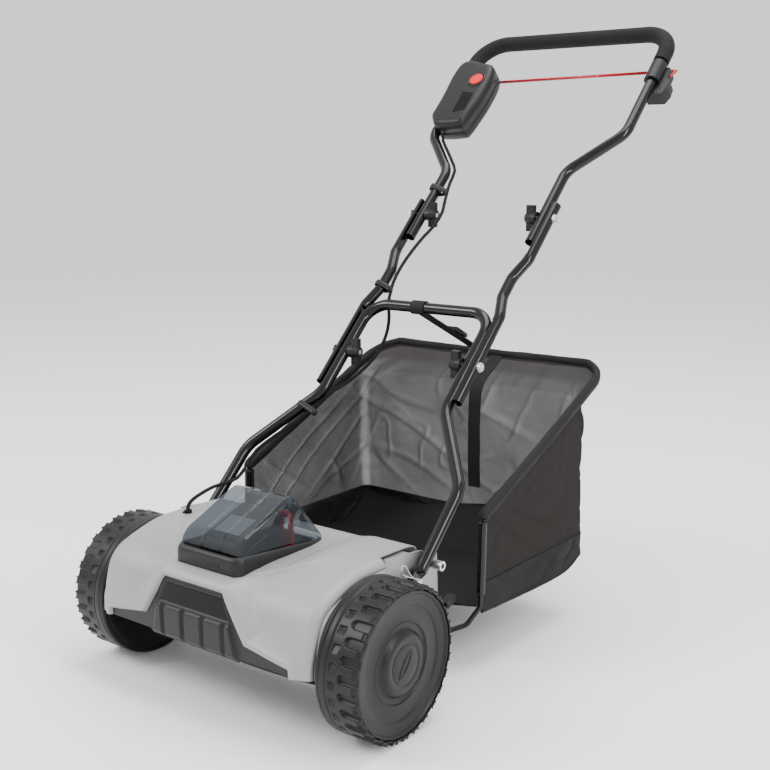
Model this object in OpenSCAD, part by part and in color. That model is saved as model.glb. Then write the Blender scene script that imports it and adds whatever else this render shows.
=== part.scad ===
// Cordless reel mower, 38 cm cut, with a folding tube handle and a lift-off grass catcher.
// X runs across the mower, the front faces -Y, and +Z is up.
// Every module below is drawn from the wheel axle line, at ground level, and place() moves
// it so that the origin is under the middle of the whole mower.

/* [Wheels] */
// Diameter over the tread
wheel_d = 214; // [212:1:216]
// Width of a wheel, inner face to outer face
wheel_w = 67.5; // [66:0.5:68]
// Width of the whole mower over its wheels
overall_w = 550; // [549:1:552]

/* [Cutting reel] */
// Radius swept by the reel blades
reel_r = 64; // [62:1:64]
// Number of helical reel blades
blade_count = 5; // [4:1:6]
// Height of the reel shaft above the ground
reel_z = 100; // [100:1:104]

/* [Hood] */
// Width of the moulded hood
hood_w = 410; // [409:1:410]
// Wall of the moulded hood
hood_wall = 2.5; // [2:0.5:2.5]

/* [Handle] */
// Outside diameter of the handle tubes
tube_d = 19; // [19:0.1:19.4]
// Wall of the handle tubes
tube_wall = 1.5; // [1.2:0.1:1.6]
// Outside diameter of the foam grip
grip_d = 29; // [28:1:30]
// Half of the distance between the grip's side legs
grip_half_w = 202; // [200:1:204]
// Distance along the handle from the lower bolts to the grip
grip_reach = 767; // [760:1:775]
// Slope of the handle
handle_slope = 45; // [45:1:45]

/* [Grass catcher] */
// Width of the catcher
bag_w = 480; // [476:1:484]
// Height of the catcher's floor above the ground
bag_floor_z = 86; // [82:1:88]
// How far behind the axle the catcher's rear wall stands
bag_rear = 612; // [600:1:616]

/* [Cable] */
// Diameter of the switch cable
cable_d = 6; // [5:0.5:6]

/* [Hidden] */
$fn = 48;
eps = 0.01;

wheel_r = wheel_d / 2;
wheel_out = overall_w / 2;
wheel_in = wheel_out - wheel_w;
tube_r = tube_d / 2;
grip_r = grip_d / 2;
hood_half = hood_w / 2;

// side plates
plate_in = 199;
plate_t = 3;
plate_out = plate_in + plate_t;
axle_r = 8;
reel_y = 5;
shaft_r = 7;
bearing_r = 14;
bearing_w = 3.5;
fit = 0.05;          // radial clearance of a running fit
gap = 0.4;           // clearance between neighbouring mouldings

// handle: its own plane holds the lower bolts at [0, 0], x across and s up the slope
joint_y = 361;
joint_z = 437;
leg_x = 124;                       // narrow part of the handle
leg_wide = 213.5;                  // lower legs beside the hood
nest_x = leg_x + 13;               // middle tubes beside the legs, at both joints
nest_flat = leg_x + tube_r + gap;  // their flattened inner face
upper_s = 312;                     // upper bolts
cross_s = 104;                     // crossbar of the lower handle
bolt_r = 4;
stud_r = 5;
pivot_y = 102;
pivot_z = 178;
pivot_s = (pivot_y - joint_y) / cos(handle_slope);
rest_r = 7;
rest_s = -328;
rest_n = -(tube_r + rest_r + fit);
paddle_t = 7;
paddle_w = 22;
paddle_x = 210;

// whole mower, front to back: the front panel leads and the grip is last
front_reach = 123.5;
rear_reach = joint_y + grip_reach * cos(handle_slope) + grip_r;
axle_y = -(rear_reach - front_reach) / 2;

// motor and belt
motor_y = -68;
motor_z = 160;
motor_r = 21;
belt_x = -195;
belt_w = 10;
reel_pulley_r = 27;
motor_pulley_r = 9;

// rear roller and its bracket
bracket_y = 112;
bracket_z = 96;
roller_y = 190;
roller_r = 24;
roller_half = 180;

module place() {
    translate([0, axle_y, 0]) children();
}

module both_sides() {
    children();
    mirror([1, 0, 0]) children();
}

// puts a shape drawn on [x, s, n] onto the handle's plane
module on_handle() {
    translate([0, joint_y, joint_z]) rotate([handle_slope, 0, 0]) children();
}

// an outline of [y, z] points, extruded across the mower from x = from to x = to
module across(from, to) {
    translate([from, 0, 0]) rotate([90, 0, 90]) linear_extrude(to - from) children();
}

module rod_x(from, to, r, y, z) {
    translate([from, y, z]) rotate([0, 90, 0]) cylinder(h = to - from, r = r);
}

function unit(v) = v / norm(v);

function turn(p, i) = let (a = p[i] - p[i - 1], b = p[i + 1] - p[i])
    atan2(a.x * b.y - a.y * b.x, a.x * b.x + a.y * b.y);

function trim(p, bend, i) = (i == 0 || i == len(p) - 1) ? 0 : bend[i] * tan(abs(turn(p, i)) / 2);

// a round tube or bar bent in a plane: p holds its corners and bend the radius at each corner.
// The straight lengths are swaged into the bends, so no two faces lie on each other.
swage = 0.15;
swage_reach = 0.5;

module bent_tube(p, bend, r, wall) {
    inner = wall < r ? r - wall + swage : 0;
    for (i = [0 : len(p) - 2]) {
        d = unit(p[i + 1] - p[i]);
        from = p[i] + d * (trim(p, bend, i) - (i == 0 ? 0 : swage_reach));
        to = p[i + 1] - d * (trim(p, bend, i + 1) - (i == len(p) - 2 ? 0 : swage_reach));
        translate([from.x, from.y, 0]) rotate([0, 0, atan2(d.y, d.x)]) rotate([0, 90, 0])
            rotate_extrude() translate([inner, 0]) square([r - swage - inner, norm(to - from)]);
    }
    for (i = [1 : 1 : len(p) - 2]) {
        side = sign(turn(p, i));
        d = unit(p[i] - p[i - 1]);
        start = p[i] - d * trim(p, bend, i);
        middle = start + side * bend[i] * [-d.y, d.x];
        from = atan2(start.y - middle.y, start.x - middle.x);
        translate([middle.x, middle.y, 0]) rotate([0, 0, side > 0 ? from : from + turn(p, i)])
            rotate_extrude(angle = abs(turn(p, i))) translate([bend[i], 0]) difference() {
                circle(r);
                if (wall < r) circle(r - wall);
            }
    }
}

// a cord or wire swept along 3-D points
function tangents(p) = [for (i = [0 : len(p) - 1]) unit(p[min(i + 1, len(p) - 1)] - p[max(i - 1, 0)])];

function carried(t, i, n) = i >= len(t) ? [] :
    let (m = unit(n - (n * t[i]) * t[i])) concat([m], carried(t, i + 1, m));

function spline(p, steps) = concat(
    [for (i = [0 : len(p) - 2], k = [0 : steps - 1])
        let (a = p[max(i - 1, 0)], b = p[i], c = p[i + 1], d = p[min(i + 2, len(p) - 1)], u = k / steps)
        0.5 * (2 * b + (c - a) * u + (2 * a - 5 * b + 4 * c - d) * u ^ 2 + (3 * b - a - 3 * c + d) * u ^ 3)],
    [p[len(p) - 1]]);

module swept(p, r, sides) {
    t = tangents(p);
    m = carried(t, 0, abs(t[0].x) < 0.9 ? [1, 0, 0] : [0, 1, 0]);
    rings = len(p);
    points = [for (i = [0 : rings - 1], k = [0 : sides - 1])
        let (a = 360 * k / sides) p[i] + r * (cos(a) * m[i] + sin(a) * cross(t[i], m[i]))];
    walls = [for (i = [0 : rings - 2], k = [0 : sides - 1]) let (q = (k + 1) % sides)
        [i * sides + k, (i + 1) * sides + k, (i + 1) * sides + q, i * sides + q]];
    near = [for (k = [0 : sides - 1]) k];
    far = [for (k = [sides - 1 : -1 : 0]) (rings - 1) * sides + k];
    polyhedron(points, concat([near], walls, [far]), convexity = 6);
}

// a path of 3-D points, each corner rounded to its radius
function rounded(p, radii, steps) = concat([p[0]],
    [for (i = [1 : len(p) - 2], k = [0 : steps])
        let (a = unit(p[i - 1] - p[i]), b = unit(p[i + 1] - p[i]), half = acos(a * b) / 2,
             r = radii[i], reach = r / tan(half), mid = p[i] + unit(a + b) * r / sin(half),
             u = unit(p[i] + a * reach - mid), v = unit(p[i] + b * reach - mid), w = 180 - 2 * half,
             f = w * k / steps)
        mid + r * (u * sin(w - f) + v * sin(f)) / sin(w)],
    [p[len(p) - 1]]);

// ---------------------------------------------------------------- deck

plate_outline = [
    [-88, 104], [-88, 152], [-70, 176], [-30, 194], [30, 199], [46.5, 200], [49, 222], [130, 213], [170, 201],
    [173, 141], [174, 64], [146, 60], [128, 74], [72, 30], [20, 26], [-34, 52]
];

catcher_hook = [210, 74];    // x and z of the catcher's hooks
screw_hole = 0.1;            // clearance round a screw
hood_screw = [176, 84];

module side_plate() {
    difference() {
        across(plate_in, plate_out) polygon(plate_outline);
        rod_x(plate_in - 1, plate_out + 1, stud_r, pivot_y, pivot_z);
        on_handle() translate([0, rest_s, rest_n]) rotate([0, 90, 0])
            translate([0, 0, plate_in - 1]) cylinder(h = plate_t + 2, r = 4);
        rod_x(plate_in - 1, plate_out + 1, 5 + fit, bracket_y, bracket_z);
    }
    // socket that carries the catcher's hook
    difference() {
        across(plate_out, catcher_hook.x + 8) translate([148, catcher_hook.y - 9]) square([24, 18]);
        translate([catcher_hook.x, 140, catcher_hook.y]) rotate([-90, 0, 0]) cylinder(h = 40, r = 4.3);
    }
    // flange under the hood
    difference() {
        across(160, plate_in) translate([60, 214]) square([44, 2.6]);
        translate([hood_screw.x, hood_screw.y, 205]) cylinder(h = 20, r = 2 + screw_hole);
    }
}

module side_plate_left() {
    place() color("dimgray") mirror([1, 0, 0]) side_plate();
}

module side_plate_right() {
    place() color("dimgray") side_plate();
}

module tie_bars() {
    place() color("silver") {
        rod_x(-plate_in, plate_in, 6, -82, 114);
        rod_x(-plate_in, plate_in, 6, 92, 190);
    }
}

knife_screw_x = [-160, -80, 0, 80, 160];
knife_z = 36.2;
knife_hole = 3 + screw_hole;

module bed_knife_bar() {
    place() color([0.2, 0.2, 0.21]) difference() {
        union() {
            across(-plate_in, plate_in) translate([34, knife_z]) square([32, 4]);
            across(-plate_in, plate_in) translate([62, knife_z + 4 - eps]) square([4, 24]);
        }
        for (x = knife_screw_x) translate([x, 46, 30]) cylinder(h = 16, r = knife_hole);
    }
}

module bed_knife() {
    place() color("lightgray") difference() {
        across(-plate_in + 1, plate_in - 1) polygon([
            [14, knife_z], [56, knife_z], [56, knife_z - 3], [18, knife_z - 3]]);
        for (x = knife_screw_x) translate([x, 46, 30]) cylinder(h = 16, r = knife_hole);
    }
}

module deck_screws() {
    place() color("gray") {
        for (x = knife_screw_x) {
            translate([x, 46, knife_z - 4]) cylinder(h = 12, r = 3);
            translate([x, 46, knife_z - 6]) cylinder(h = 3, r = 5);
            translate([x, 46, knife_z + 4]) cylinder(h = 4.5, r = 5);
        }
        both_sides() translate([hood_screw.x, hood_screw.y, 0]) {
            translate([0, 0, 211]) cylinder(h = 11, r = 2);
            translate([0, 0, 220.8]) cylinder(h = 1.6, r = 4);
        }
    }
}

// hood: one outline for its skin, one for its inside
hood_skin = [
    [-117, 104], [-114, 140], [-108, 162], [-99, 183], [-84, 199], [-62, 209], [-30, 214.5], [10, 218],
    [60, 221], [110, 220], [132, 214], [134, 206]
];

tray_half = 58;
tray_front = -90;
tray_rear = 76;
tray_floor = 204;
gland_at = [-170, 34, 214];
gland_r = 6;

hood_mouth = [[-58, 198], [58, 198], [104, 128], [178, 114], [178, 100], [-178, 100], [-178, 114], [-104, 128]];
hood_low = [[46, 220], [46, 206], [-40, 190], [-84, 150], [-98, 104]];
hood_room = [
    [-98, 100], [-114.3, 100], [-111, 140], [-105, 161], [-96, 181], [-82, 196], [-61, 206], [-30, 211.5],
    [10, 215], [60, 218], [108, 217], [129, 212], [129, 200], [40, 200], [40, 100]
];

// the hood's front wall is open where the front panel fills it
module through_front(grow) {
    translate([0, -90, 0]) rotate([90, 0, 0]) linear_extrude(50) offset(delta = grow) polygon(hood_mouth);
}

module hood_cover() {
    place() color([0.72, 0.73, 0.73]) difference() {
        union() {
            across(-hood_half, hood_half) polygon(concat([for (p = hood_skin) if (p.x < 46) p], hood_low));
            across(-plate_in + gap, plate_in - gap)
                polygon(concat([for (p = hood_skin) if (p.x > 46) p], [[45, 206], [45, 220.6]]));
        }
        across(-hood_half + hood_wall, hood_half - hood_wall) polygon(hood_room);
        // room for the battery tray
        across(-tray_half - gap, tray_half + gap) polygon([
            [tray_front - gap, 190], [tray_front - gap, 230], [tray_rear + gap, 230], [tray_rear + gap, 190]]);
        through_front(0);
        both_sides() translate([hood_screw.x, hood_screw.y, 205]) cylinder(h = 30, r = 2 + screw_hole);
        translate([gland_at.x, gland_at.y, 205]) cylinder(h = 30, r = gland_r + gap);
    }
}

// ribbed bumper: its hollow back is open
bumper_half = 62;
bumper_skin = [[-117, 108], [-121, 112], [-122, 150], [-117, 190], [-112, 196], [-107, 150]];
bumper_room = [[-106, 111], [-117.5, 111], [-119, 150], [-114, 186], [-108, 190], [-104, 150]];

module front_panel() {
    place() color([0.13, 0.13, 0.14]) {
        difference() {
            union() {
                intersection() {
                    across(-178, 178) polygon([
                        [-119.5, 105], [-117, 150], [-110, 197], [-104, 197], [-109, 150], [-109, 105]]);
                    through_front(-gap);
                }
                across(-bumper_half, bumper_half) polygon(bumper_skin);
            }
            across(-bumper_half + 3, bumper_half - 3) polygon(bumper_room);
        }
        for (x = [-58, -19, 19, 58]) translate([x - 1.5, -front_reach, 114]) cube([3, 4, 34]);
    }
}

module name_plate() {
    place() color([0.06, 0.06, 0.06]) across(-54, 54)
        polygon([[-121.5, 154], [-118.375, 179], [-119.9, 179.2], [-123, 154.2]]);
}

module battery_tray() {
    place() color([0.1, 0.1, 0.11]) difference() {
        across(-tray_half, tray_half) polygon([[tray_front, 196], [tray_front, 209], [tray_rear, 219], [tray_rear, 196]]);
        across(-tray_half + 5, tray_half - 5) polygon([
            [tray_front + 5, tray_floor], [tray_front + 5, 240], [tray_rear - 6, 240], [tray_rear - 6, tray_floor]]);
    }
}

motor_face = -173;
motor_shaft_r = 3;

module motor() {
    place() color([0.25, 0.25, 0.26]) difference() {
        union() {
            rod_x(motor_face, motor_face + 84, motor_r, motor_y, motor_z);
            rod_x(motor_face + 84, motor_face + 90, 9, motor_y, motor_z);
        }
        rod_x(motor_face - 1, motor_face + 12, motor_shaft_r + fit, motor_y, motor_z);
    }
}

module motor_bracket() {
    place() color("gray") difference() {
        across(motor_face - 3, motor_face) polygon([
            [-93, 102], [-93, 178], [-84, 184], [-52, 186], [-44, 172], [-44, 150], [-70, 120], [-70, 102]]);
        rod_x(motor_face - 4, motor_face + 1, 6, motor_y, motor_z);
        rod_x(motor_face - 4, motor_face + 1, 6, -82, 114);
    }
}

module belt_loop(grow) {
    hull() {
        translate([motor_y, motor_z]) circle(motor_pulley_r + grow, $fn = 32);
        translate([reel_y, reel_z]) circle(reel_pulley_r + grow, $fn = 32);
    }
}

module drive_belt() {
    place() color([0.08, 0.08, 0.08]) across(belt_x + 0.6, belt_x + belt_w - 0.6) difference() {
        belt_loop(2.2);
        belt_loop(gap);
    }
}

module axle_stubs() {
    place() color("silver") both_sides() {
        rod_x(plate_out, wheel_out - 18.5, axle_r, 0, wheel_r);
        rod_x(plate_out, plate_out + 3.5, 14, 0, wheel_r);
    }
}

module reel_bearings() {
    place() color("gray") both_sides() difference() {
        rod_x(plate_in - bearing_w, plate_in, bearing_r, reel_y, reel_z);
        rod_x(plate_in - bearing_w - 1, plate_in + 1, shaft_r + fit, reel_y, reel_z);
    }
}

module pivot_studs() {
    place() color("silver") both_sides() difference() {
        union() {
            rod_x(plate_in - 4, 222, stud_r, pivot_y, pivot_z);
            rod_x(plate_in - 7, plate_in, 8, pivot_y, pivot_z);
            rod_x(plate_out, paddle_x - paddle_t / 2 - 0.2, 8, pivot_y, pivot_z);
        }
        translate([clip_x, pivot_y, pivot_z]) rotate([45, 0, 0]) cylinder(h = 20, r = 1.3, center = true);
    }
}

module rest_studs() {
    place() color("silver") both_sides() on_handle() translate([0, rest_s, rest_n]) rotate([0, 90, 0]) {
        translate([0, 0, plate_out]) difference() {
            cylinder(h = 31, r = rest_r);
            translate([0, 0, 4]) cylinder(h = 30, r = 4);
        }
        translate([0, 0, plate_in - 4]) cylinder(h = plate_t + 5, r = 4);
    }
}

clip_x = 217.5;
clip_route = [
    [clip_x, 109, 171], [clip_x, 102, 178], [clip_x, 96, 184], [clip_x, 86, 192], [clip_x, 78, 203],
    [clip_x, 74, 209], [clip_x, 68, 211], [clip_x, 64, 206], [clip_x, 67, 199], [clip_x, 76, 194],
    [clip_x + 1, 84, 190], [clip_x + 6.4, 94, 186], [clip_x + 7.4, 100, 182]
];

module stud_clips() {
    place() color("lightgray") both_sides() swept(spline(clip_route, 2), 1, 8);
}

module cable_gland() {
    place() color([0.08, 0.08, 0.08]) translate(gland_at) difference() {
        union() {
            cylinder(h = 12, r = gland_r);
            translate([0, 0, 6.6]) cylinder(h = 2, r = gland_r + 3);
        }
        translate([0, 0, -1]) cylinder(h = 20, r = cable_d / 2 + fit);
    }
}

// ---------------------------------------------------------------- wheels

module wheel() {
    translate([0, 0, wheel_r]) rotate([0, 90, 0]) rotate_extrude() polygon([
        [axle_r + fit, wheel_in + 4], [axle_r + fit, wheel_out - 18], [0.5, wheel_out - 14.5], [0.5, wheel_out - 1],
        [22, wheel_out - 1], [26, wheel_out - 4], [45, wheel_out - 4], [47, wheel_out - 1.5], [53, wheel_out - 3],
        [56, wheel_out - 7], [74, wheel_out - 7], [78, wheel_out - 2], [96, wheel_out], [99, wheel_out - 2],
        [99, wheel_in], [93, wheel_in], [93, wheel_out - 12], [16, wheel_out - 12], [16, wheel_in + 4]
    ]);
}

module tyre() {
    translate([0, 0, wheel_r]) rotate([0, 90, 0]) rotate_extrude() polygon([
        [99 + gap / 4, wheel_in], [99 + gap / 4, wheel_out - 2.2], [102, wheel_out], [105, wheel_out - 1],
        [wheel_r, wheel_out - 4], [wheel_r, wheel_in + 1.5], [wheel_r - 1.5, wheel_in]
    ]);
}

module wheel_cover() {
    difference() {
        rod_x(wheel_in + 0.5, wheel_in + 4, 92.8, 0, wheel_r);
        rod_x(wheel_in, wheel_in + 5, 15, 0, wheel_r);
    }
}

module wheel_cover_left() {
    place() color([0.1, 0.1, 0.1]) mirror([1, 0, 0]) wheel_cover();
}

module wheel_cover_right() {
    place() color([0.1, 0.1, 0.1]) wheel_cover();
}

module wheel_left() {
    place() color([0.14, 0.13, 0.14]) mirror([1, 0, 0]) wheel();
}

module tyre_left() {
    place() color([0.2, 0.19, 0.2]) mirror([1, 0, 0]) tyre();
}

module wheel_right() {
    place() color([0.14, 0.13, 0.14]) wheel();
}

module tyre_right() {
    place() color([0.2, 0.19, 0.2]) tyre();
}

// ---------------------------------------------------------------- cutting reel and drive

blade_from = -180;
blade_to = 188;
blade_twist = 62;

module reel_shaft() {
    place() color("gray") rod_x(-plate_in + 0.2, plate_in - 0.2, shaft_r, reel_y, reel_z);
}

module reel_discs() {
    place() color([0.15, 0.15, 0.16]) for (x = [-172, -52, 66, 180]) difference() {
        rod_x(x, x + 4, 47, reel_y, reel_z);
        rod_x(x - 1, x + 5, shaft_r, reel_y, reel_z);
        for (k = [0 : blade_count - 1]) translate([x - 1, reel_y, reel_z]) rotate([360 * (k + 0.5) / blade_count, 0, 0])
            translate([0, 0, 29]) rotate([0, 90, 0]) cylinder(h = 6, r = 9);
    }
}

module reel_blades() {
    place() color([0.55, 0.56, 0.58]) translate([blade_from, reel_y, reel_z]) rotate([0, 90, 0])
        for (k = [0 : blade_count - 1]) rotate([0, 0, 360 * k / blade_count])
            linear_extrude(height = blade_to - blade_from, twist = blade_twist, slices = 22)
                polygon([[44, -4], [44, -1], [reel_r - 0.3, 3.6], [reel_r, 0.5], [52, -3.2]]);
}

module reel_pulley() {
    place() color("gray") difference() {
        union() {
            rod_x(belt_x, belt_x + belt_w, reel_pulley_r, reel_y, reel_z);
            rod_x(belt_x + belt_w, belt_x + belt_w + 1.5, reel_pulley_r + 3, reel_y, reel_z);
        }
        rod_x(belt_x - 1, belt_x + belt_w + 2, shaft_r, reel_y, reel_z);
    }
}

module motor_pulley() {
    place() color("gray") {
        rod_x(belt_x, belt_x + belt_w, motor_pulley_r, motor_y, motor_z);
        rod_x(belt_x + belt_w, motor_face + 11, motor_shaft_r, motor_y, motor_z);
    }
}

// ---------------------------------------------------------------- rear roller

roller_pin_r = 5;
lever_in = plate_out + 0.3;

module height_bracket() {
    place() color([0.2, 0.2, 0.21]) {
        both_sides() {
            across(plate_in - 5, plate_in - 1) hull() {
                translate([bracket_y, bracket_z]) circle(12, $fn = 32);
                translate([roller_y, roller_r]) circle(11, $fn = 32);
            }
            rod_x(plate_in - 5, lever_in, 5, bracket_y, bracket_z);
        }
        rod_x(-plate_in + 5, plate_in - 5, 5, 148, 72);
        rod_x(-plate_in + 1, plate_in - 1, roller_pin_r, roller_y, roller_r);
    }
}

module height_lever() {
    place() color([0.07, 0.07, 0.07]) both_sides() {
        rod_x(lever_in, lever_in + 4, 11, bracket_y, bracket_z);
        across(lever_in, lever_in + 4) polygon([[116, 104], [176, 122], [200, 128], [204, 120], [180, 112], [116, 88]]);
        across(lever_in, lever_in + 12) polygon([[178, 123], [200, 129], [206, 120], [184, 112]]);
    }
}

module rear_roller() {
    place() color([0.1, 0.1, 0.1]) difference() {
        rod_x(-roller_half, roller_half, roller_r, roller_y, roller_r);
        rod_x(-roller_half - 1, roller_half + 1, roller_pin_r + fit, roller_y, roller_r);
    }
}

// ---------------------------------------------------------------- handle

lower_path = [
    [leg_wide, -346], [leg_wide, -213], [leg_x, -86], [leg_x, cross_s],
    [-leg_x, cross_s], [-leg_x, -86], [-leg_wide, -213], [-leg_wide, -346]
];

leg_foot = -350;

module leg_end() {
    difference() {
        union() {
            hull() {
                translate([leg_wide, leg_foot, 0]) rotate([-90, 0, 0]) cylinder(h = 4, r = tube_r, $fn = 32);
                translate([paddle_x - paddle_t / 2, leg_foot - 6, -paddle_w / 2]) cube([paddle_t, 4, paddle_w]);
            }
            translate([paddle_x - paddle_t / 2, pivot_s, -paddle_w / 2]) cube([paddle_t, leg_foot - 2 - pivot_s, paddle_w]);
            translate([paddle_x - paddle_t / 2, pivot_s, 0]) rotate([0, 90, 0]) cylinder(h = paddle_t, r = paddle_w / 2);
        }
        translate([paddle_x - paddle_t, pivot_s, 0]) rotate([0, 90, 0]) cylinder(h = 2 * paddle_t, r = stud_r + fit);
    }
}

module lower_handle_tube() {
    place() color([0.08, 0.08, 0.08]) on_handle() {
        difference() {
            bent_tube(lower_path, [0, 50, 50, 40, 40, 50, 50, 0], tube_r, tube_wall);
            both_sides() translate([leg_x, 0, 0]) rotate([0, 90, 0]) translate([0, 0, -20])
                cylinder(h = 40, r = bolt_r + fit);
        }
        both_sides() leg_end();
    }
}

middle_path = [[nest_x, -70], [nest_x, 100], [leg_x, 140], [leg_x, 180], [nest_x, 220], [nest_x, 342]];

// each tube is pressed flat where it lies against another one, and a plate closes the flat
module middle_tube() {
    difference() {
        bent_tube(middle_path, [0, 30, 30, 30, 30, 0], tube_r, tube_wall);
        translate([nest_flat - 20, -80, -20]) cube([20, 172, 40]);
        translate([nest_flat - 20, 228, -20]) cube([20, 120, 40]);
        for (s = [0, upper_s]) translate([nest_flat - 10, s, 0]) rotate([0, 90, 0]) cylinder(h = 40, r = bolt_r);
    }
}

module nest_plate(from, to) {
    difference() {
        translate([nest_flat, from, -8.1]) cube([1.5, to - from, 16.2]);
        for (s = [0, upper_s]) translate([nest_flat - 1, s, 0]) rotate([0, 90, 0]) cylinder(h = 4, r = bolt_r);
    }
}

module middle_tubes() {
    place() color([0.08, 0.08, 0.08]) on_handle() both_sides() {
        middle_tube();
        nest_plate(-70, 92);
        nest_plate(228, 342);
    }
}

bolt_head = nest_x + tube_r;

module handle_bolts() {
    place() color("silver") on_handle() both_sides() for (s = [0, upper_s]) translate([0, s, 0]) rotate([0, 90, 0]) {
        translate([0, 0, 93]) cylinder(h = bolt_head - 93, r = bolt_r);
        translate([0, 0, bolt_head]) cylinder(h = 1.5, r = 8);
        translate([0, 0, bolt_head + 1.5]) cylinder(h = 2.5, r = 6.5);
    }
}

upper_path = [
    [leg_x, 257], [leg_x, 420], [grip_half_w, 511], [grip_half_w, grip_reach],
    [-grip_half_w, grip_reach], [-grip_half_w, 511], [-leg_x, 420], [-leg_x, 257]
];

module upper_handle_tube() {
    place() color([0.08, 0.08, 0.08]) on_handle() difference() {
        bent_tube(upper_path, [0, 45, 45, 55, 55, 45, 45, 0], tube_r, tube_wall);
        both_sides() translate([leg_x, upper_s, 0]) rotate([0, 90, 0]) translate([0, 0, -20])
            cylinder(h = 40, r = bolt_r + fit);
    }
}

foam_from = 690;
foam_path = [
    [grip_half_w, foam_from], [grip_half_w, grip_reach], [-grip_half_w, grip_reach], [-grip_half_w, foam_from]
];

module foam_grip() {
    place() color([0.12, 0.12, 0.12]) on_handle()
        bent_tube(foam_path, [0, 55, 55, 0], grip_r, grip_r - tube_r);
}

// switch box: two shells that meet on the handle's plane, round the left leg
box_left = -215;
box_right = -125;
box_low = 522;
box_high = 689;
box_top = 25;
box_back = -20;

module box_outline() {
    polygon([
        [box_left, box_low + 23], [box_left, box_high], [box_right - 28, box_high], [box_right - 13, box_high - 7],
        [box_right - 5, box_high - 21], [box_right, box_high - 48], [box_right, box_high - 88],
        [box_right - 3, box_low + 48], [box_right - 9, box_low + 8], [box_right - 17, box_low],
        [box_left + 25, box_low], [box_left + 7, box_low + 14]]);
}

module box_room() {
    translate([-grip_half_w, box_low - 10, 0]) rotate([-90, 0, 0]) cylinder(h = 200, r = tube_r);
    translate([-grip_half_w + tube_r + 3, box_low + 8, -14]) cube([36, 100, 36]);
}

button_at = [-152, 638];
button_r = 13.5;
bail_s = 664;
bail_n = -14;
bail_r = 2.5;
nose = [-187, -160];

module switch_box() {
    place() color([0.12, 0.12, 0.13]) on_handle() difference() {
        union() {
            linear_extrude(box_top - 4) box_outline();
            translate([0, 0, box_top - 4 - eps]) linear_extrude(4) offset(delta = -4) box_outline();
        }
        box_room();
        translate([button_at.x, button_at.y, 0]) cylinder(h = 40, r = button_r + fit);
    }
}

// its nose houses the end of the bail
module switch_box_back() {
    place() color([0.12, 0.12, 0.13]) on_handle() difference() {
        union() {
            translate([0, 0, box_back]) linear_extrude(-box_back) box_outline();
            across(nose[0], nose[1]) polygon([
                [640, -18], [652, -38], [700, -46], [715, -44], [715, -12], [700, -8], [686, -8]]);
        }
        box_room();
        across(nose[0] + 6, nose[1] - 7) polygon([
            [655, -8], [657, -22], [694, -41], [712, -41], [712, -14], [690, -10]]);
        across(nose[1] - 8, nose[1] + 1) polygon([[694, -41], [712, -41], [712, -14], [697, -14]]);
        translate([nose[0] + 2, bail_s, bail_n]) rotate([0, 90, 0]) cylinder(h = 14, r = bail_r + fit);
    }
}

module bail_bracket() {
    place() color([0.12, 0.12, 0.13]) on_handle() difference() {
        union() {
            translate([grip_half_w, 640, 0]) rotate([-90, 0, 0]) cylinder(h = 44, r = 14);
            translate([0, 0, -30]) linear_extrude(26) polygon([
                [196, 614], [228, 614], [233, 630], [231, 650], [222, 658], [222, 680], [196, 680]]);
        }
        translate([grip_half_w, 560, 0]) rotate([-90, 0, 0]) cylinder(h = 200, r = tube_r);
        translate([grip_half_w + 6, bail_s, bail_n]) rotate([0, 90, 0]) cylinder(h = 40, r = bail_r + fit);
    }
}

// ---------------------------------------------------------------- knobs, bail, button

module knob(s) {
    on_handle() translate([leg_x - tube_r - 0.5, s, 0]) rotate([0, -90, 0]) difference() {
        union() {
            cylinder(h = 9, r = 11);
            translate([0, 0, 9]) cylinder(h = 12, r1 = 11, r2 = 8);
            rotate([0, 0, 45]) translate([-22, -5, 5]) cube([44, 10, 14]);
        }
        translate([0, 0, -1]) cylinder(h = 26, r = bolt_r + fit);
    }
}

module lower_knob_left() {
    place() color([0.1, 0.1, 0.1]) mirror([1, 0, 0]) knob(0);
}

module lower_knob_right() {
    place() color([0.1, 0.1, 0.1]) knob(0);
}

module upper_knob_left() {
    place() color([0.1, 0.1, 0.1]) mirror([1, 0, 0]) knob(upper_s);
}

module upper_knob_right() {
    place() color([0.1, 0.1, 0.1]) knob(upper_s);
}

// the bail is drawn flat, then tipped down to where its spring holds it
bail_arm = 43;
bail_tip = -21.8;
bail_path = [
    [grip_half_w + 8, 0], [grip_half_w + 28, 0], [grip_half_w + 28, bail_arm],
    [nose[1] - 12, bail_arm], [nose[1] - 12, 0], [nose[0] + 3, 0]
];

module bail_lever() {
    place() color([0.72, 0.1, 0.1]) on_handle() translate([0, bail_s, bail_n]) rotate([bail_tip, 0, 0])
        bent_tube(bail_path, [0, 9, 9, 8, 8, 0], bail_r, bail_r);
}

module safety_button() {
    place() color([0.85, 0.12, 0.1]) on_handle() translate([button_at.x, button_at.y, 12]) {
        cylinder(h = box_top - 12 + 3, r = button_r);
    }
}

// ---------------------------------------------------------------- battery

cover_skin = [[-87, 212], [-80, 250], [-72, 255], [14, 289], [24, 287], [74, 222]];
cover_room = [[-84.5, 205], [-77.5, 248], [-70.5, 252.4], [14.5, 286], [22.5, 284.8], [71, 222], [71, 205]];

cover_hinge = [73.6, 222];

// the rear edge ends in a barrel that the cover turns about
module battery_cover() {
    place() color([0.4, 0.44, 0.48, 0.5]) {
        difference() {
            across(-tray_half + 1, tray_half - 1) polygon(concat(cover_skin, [[74, 219.3], [-87, 209.7]]));
            across(-tray_half + 3.4, tray_half - 3.4) polygon(cover_room);
        }
        rod_x(-tray_half + 4, tray_half - 4, 2.4, cover_hinge.x, cover_hinge.y);
    }
}

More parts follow.
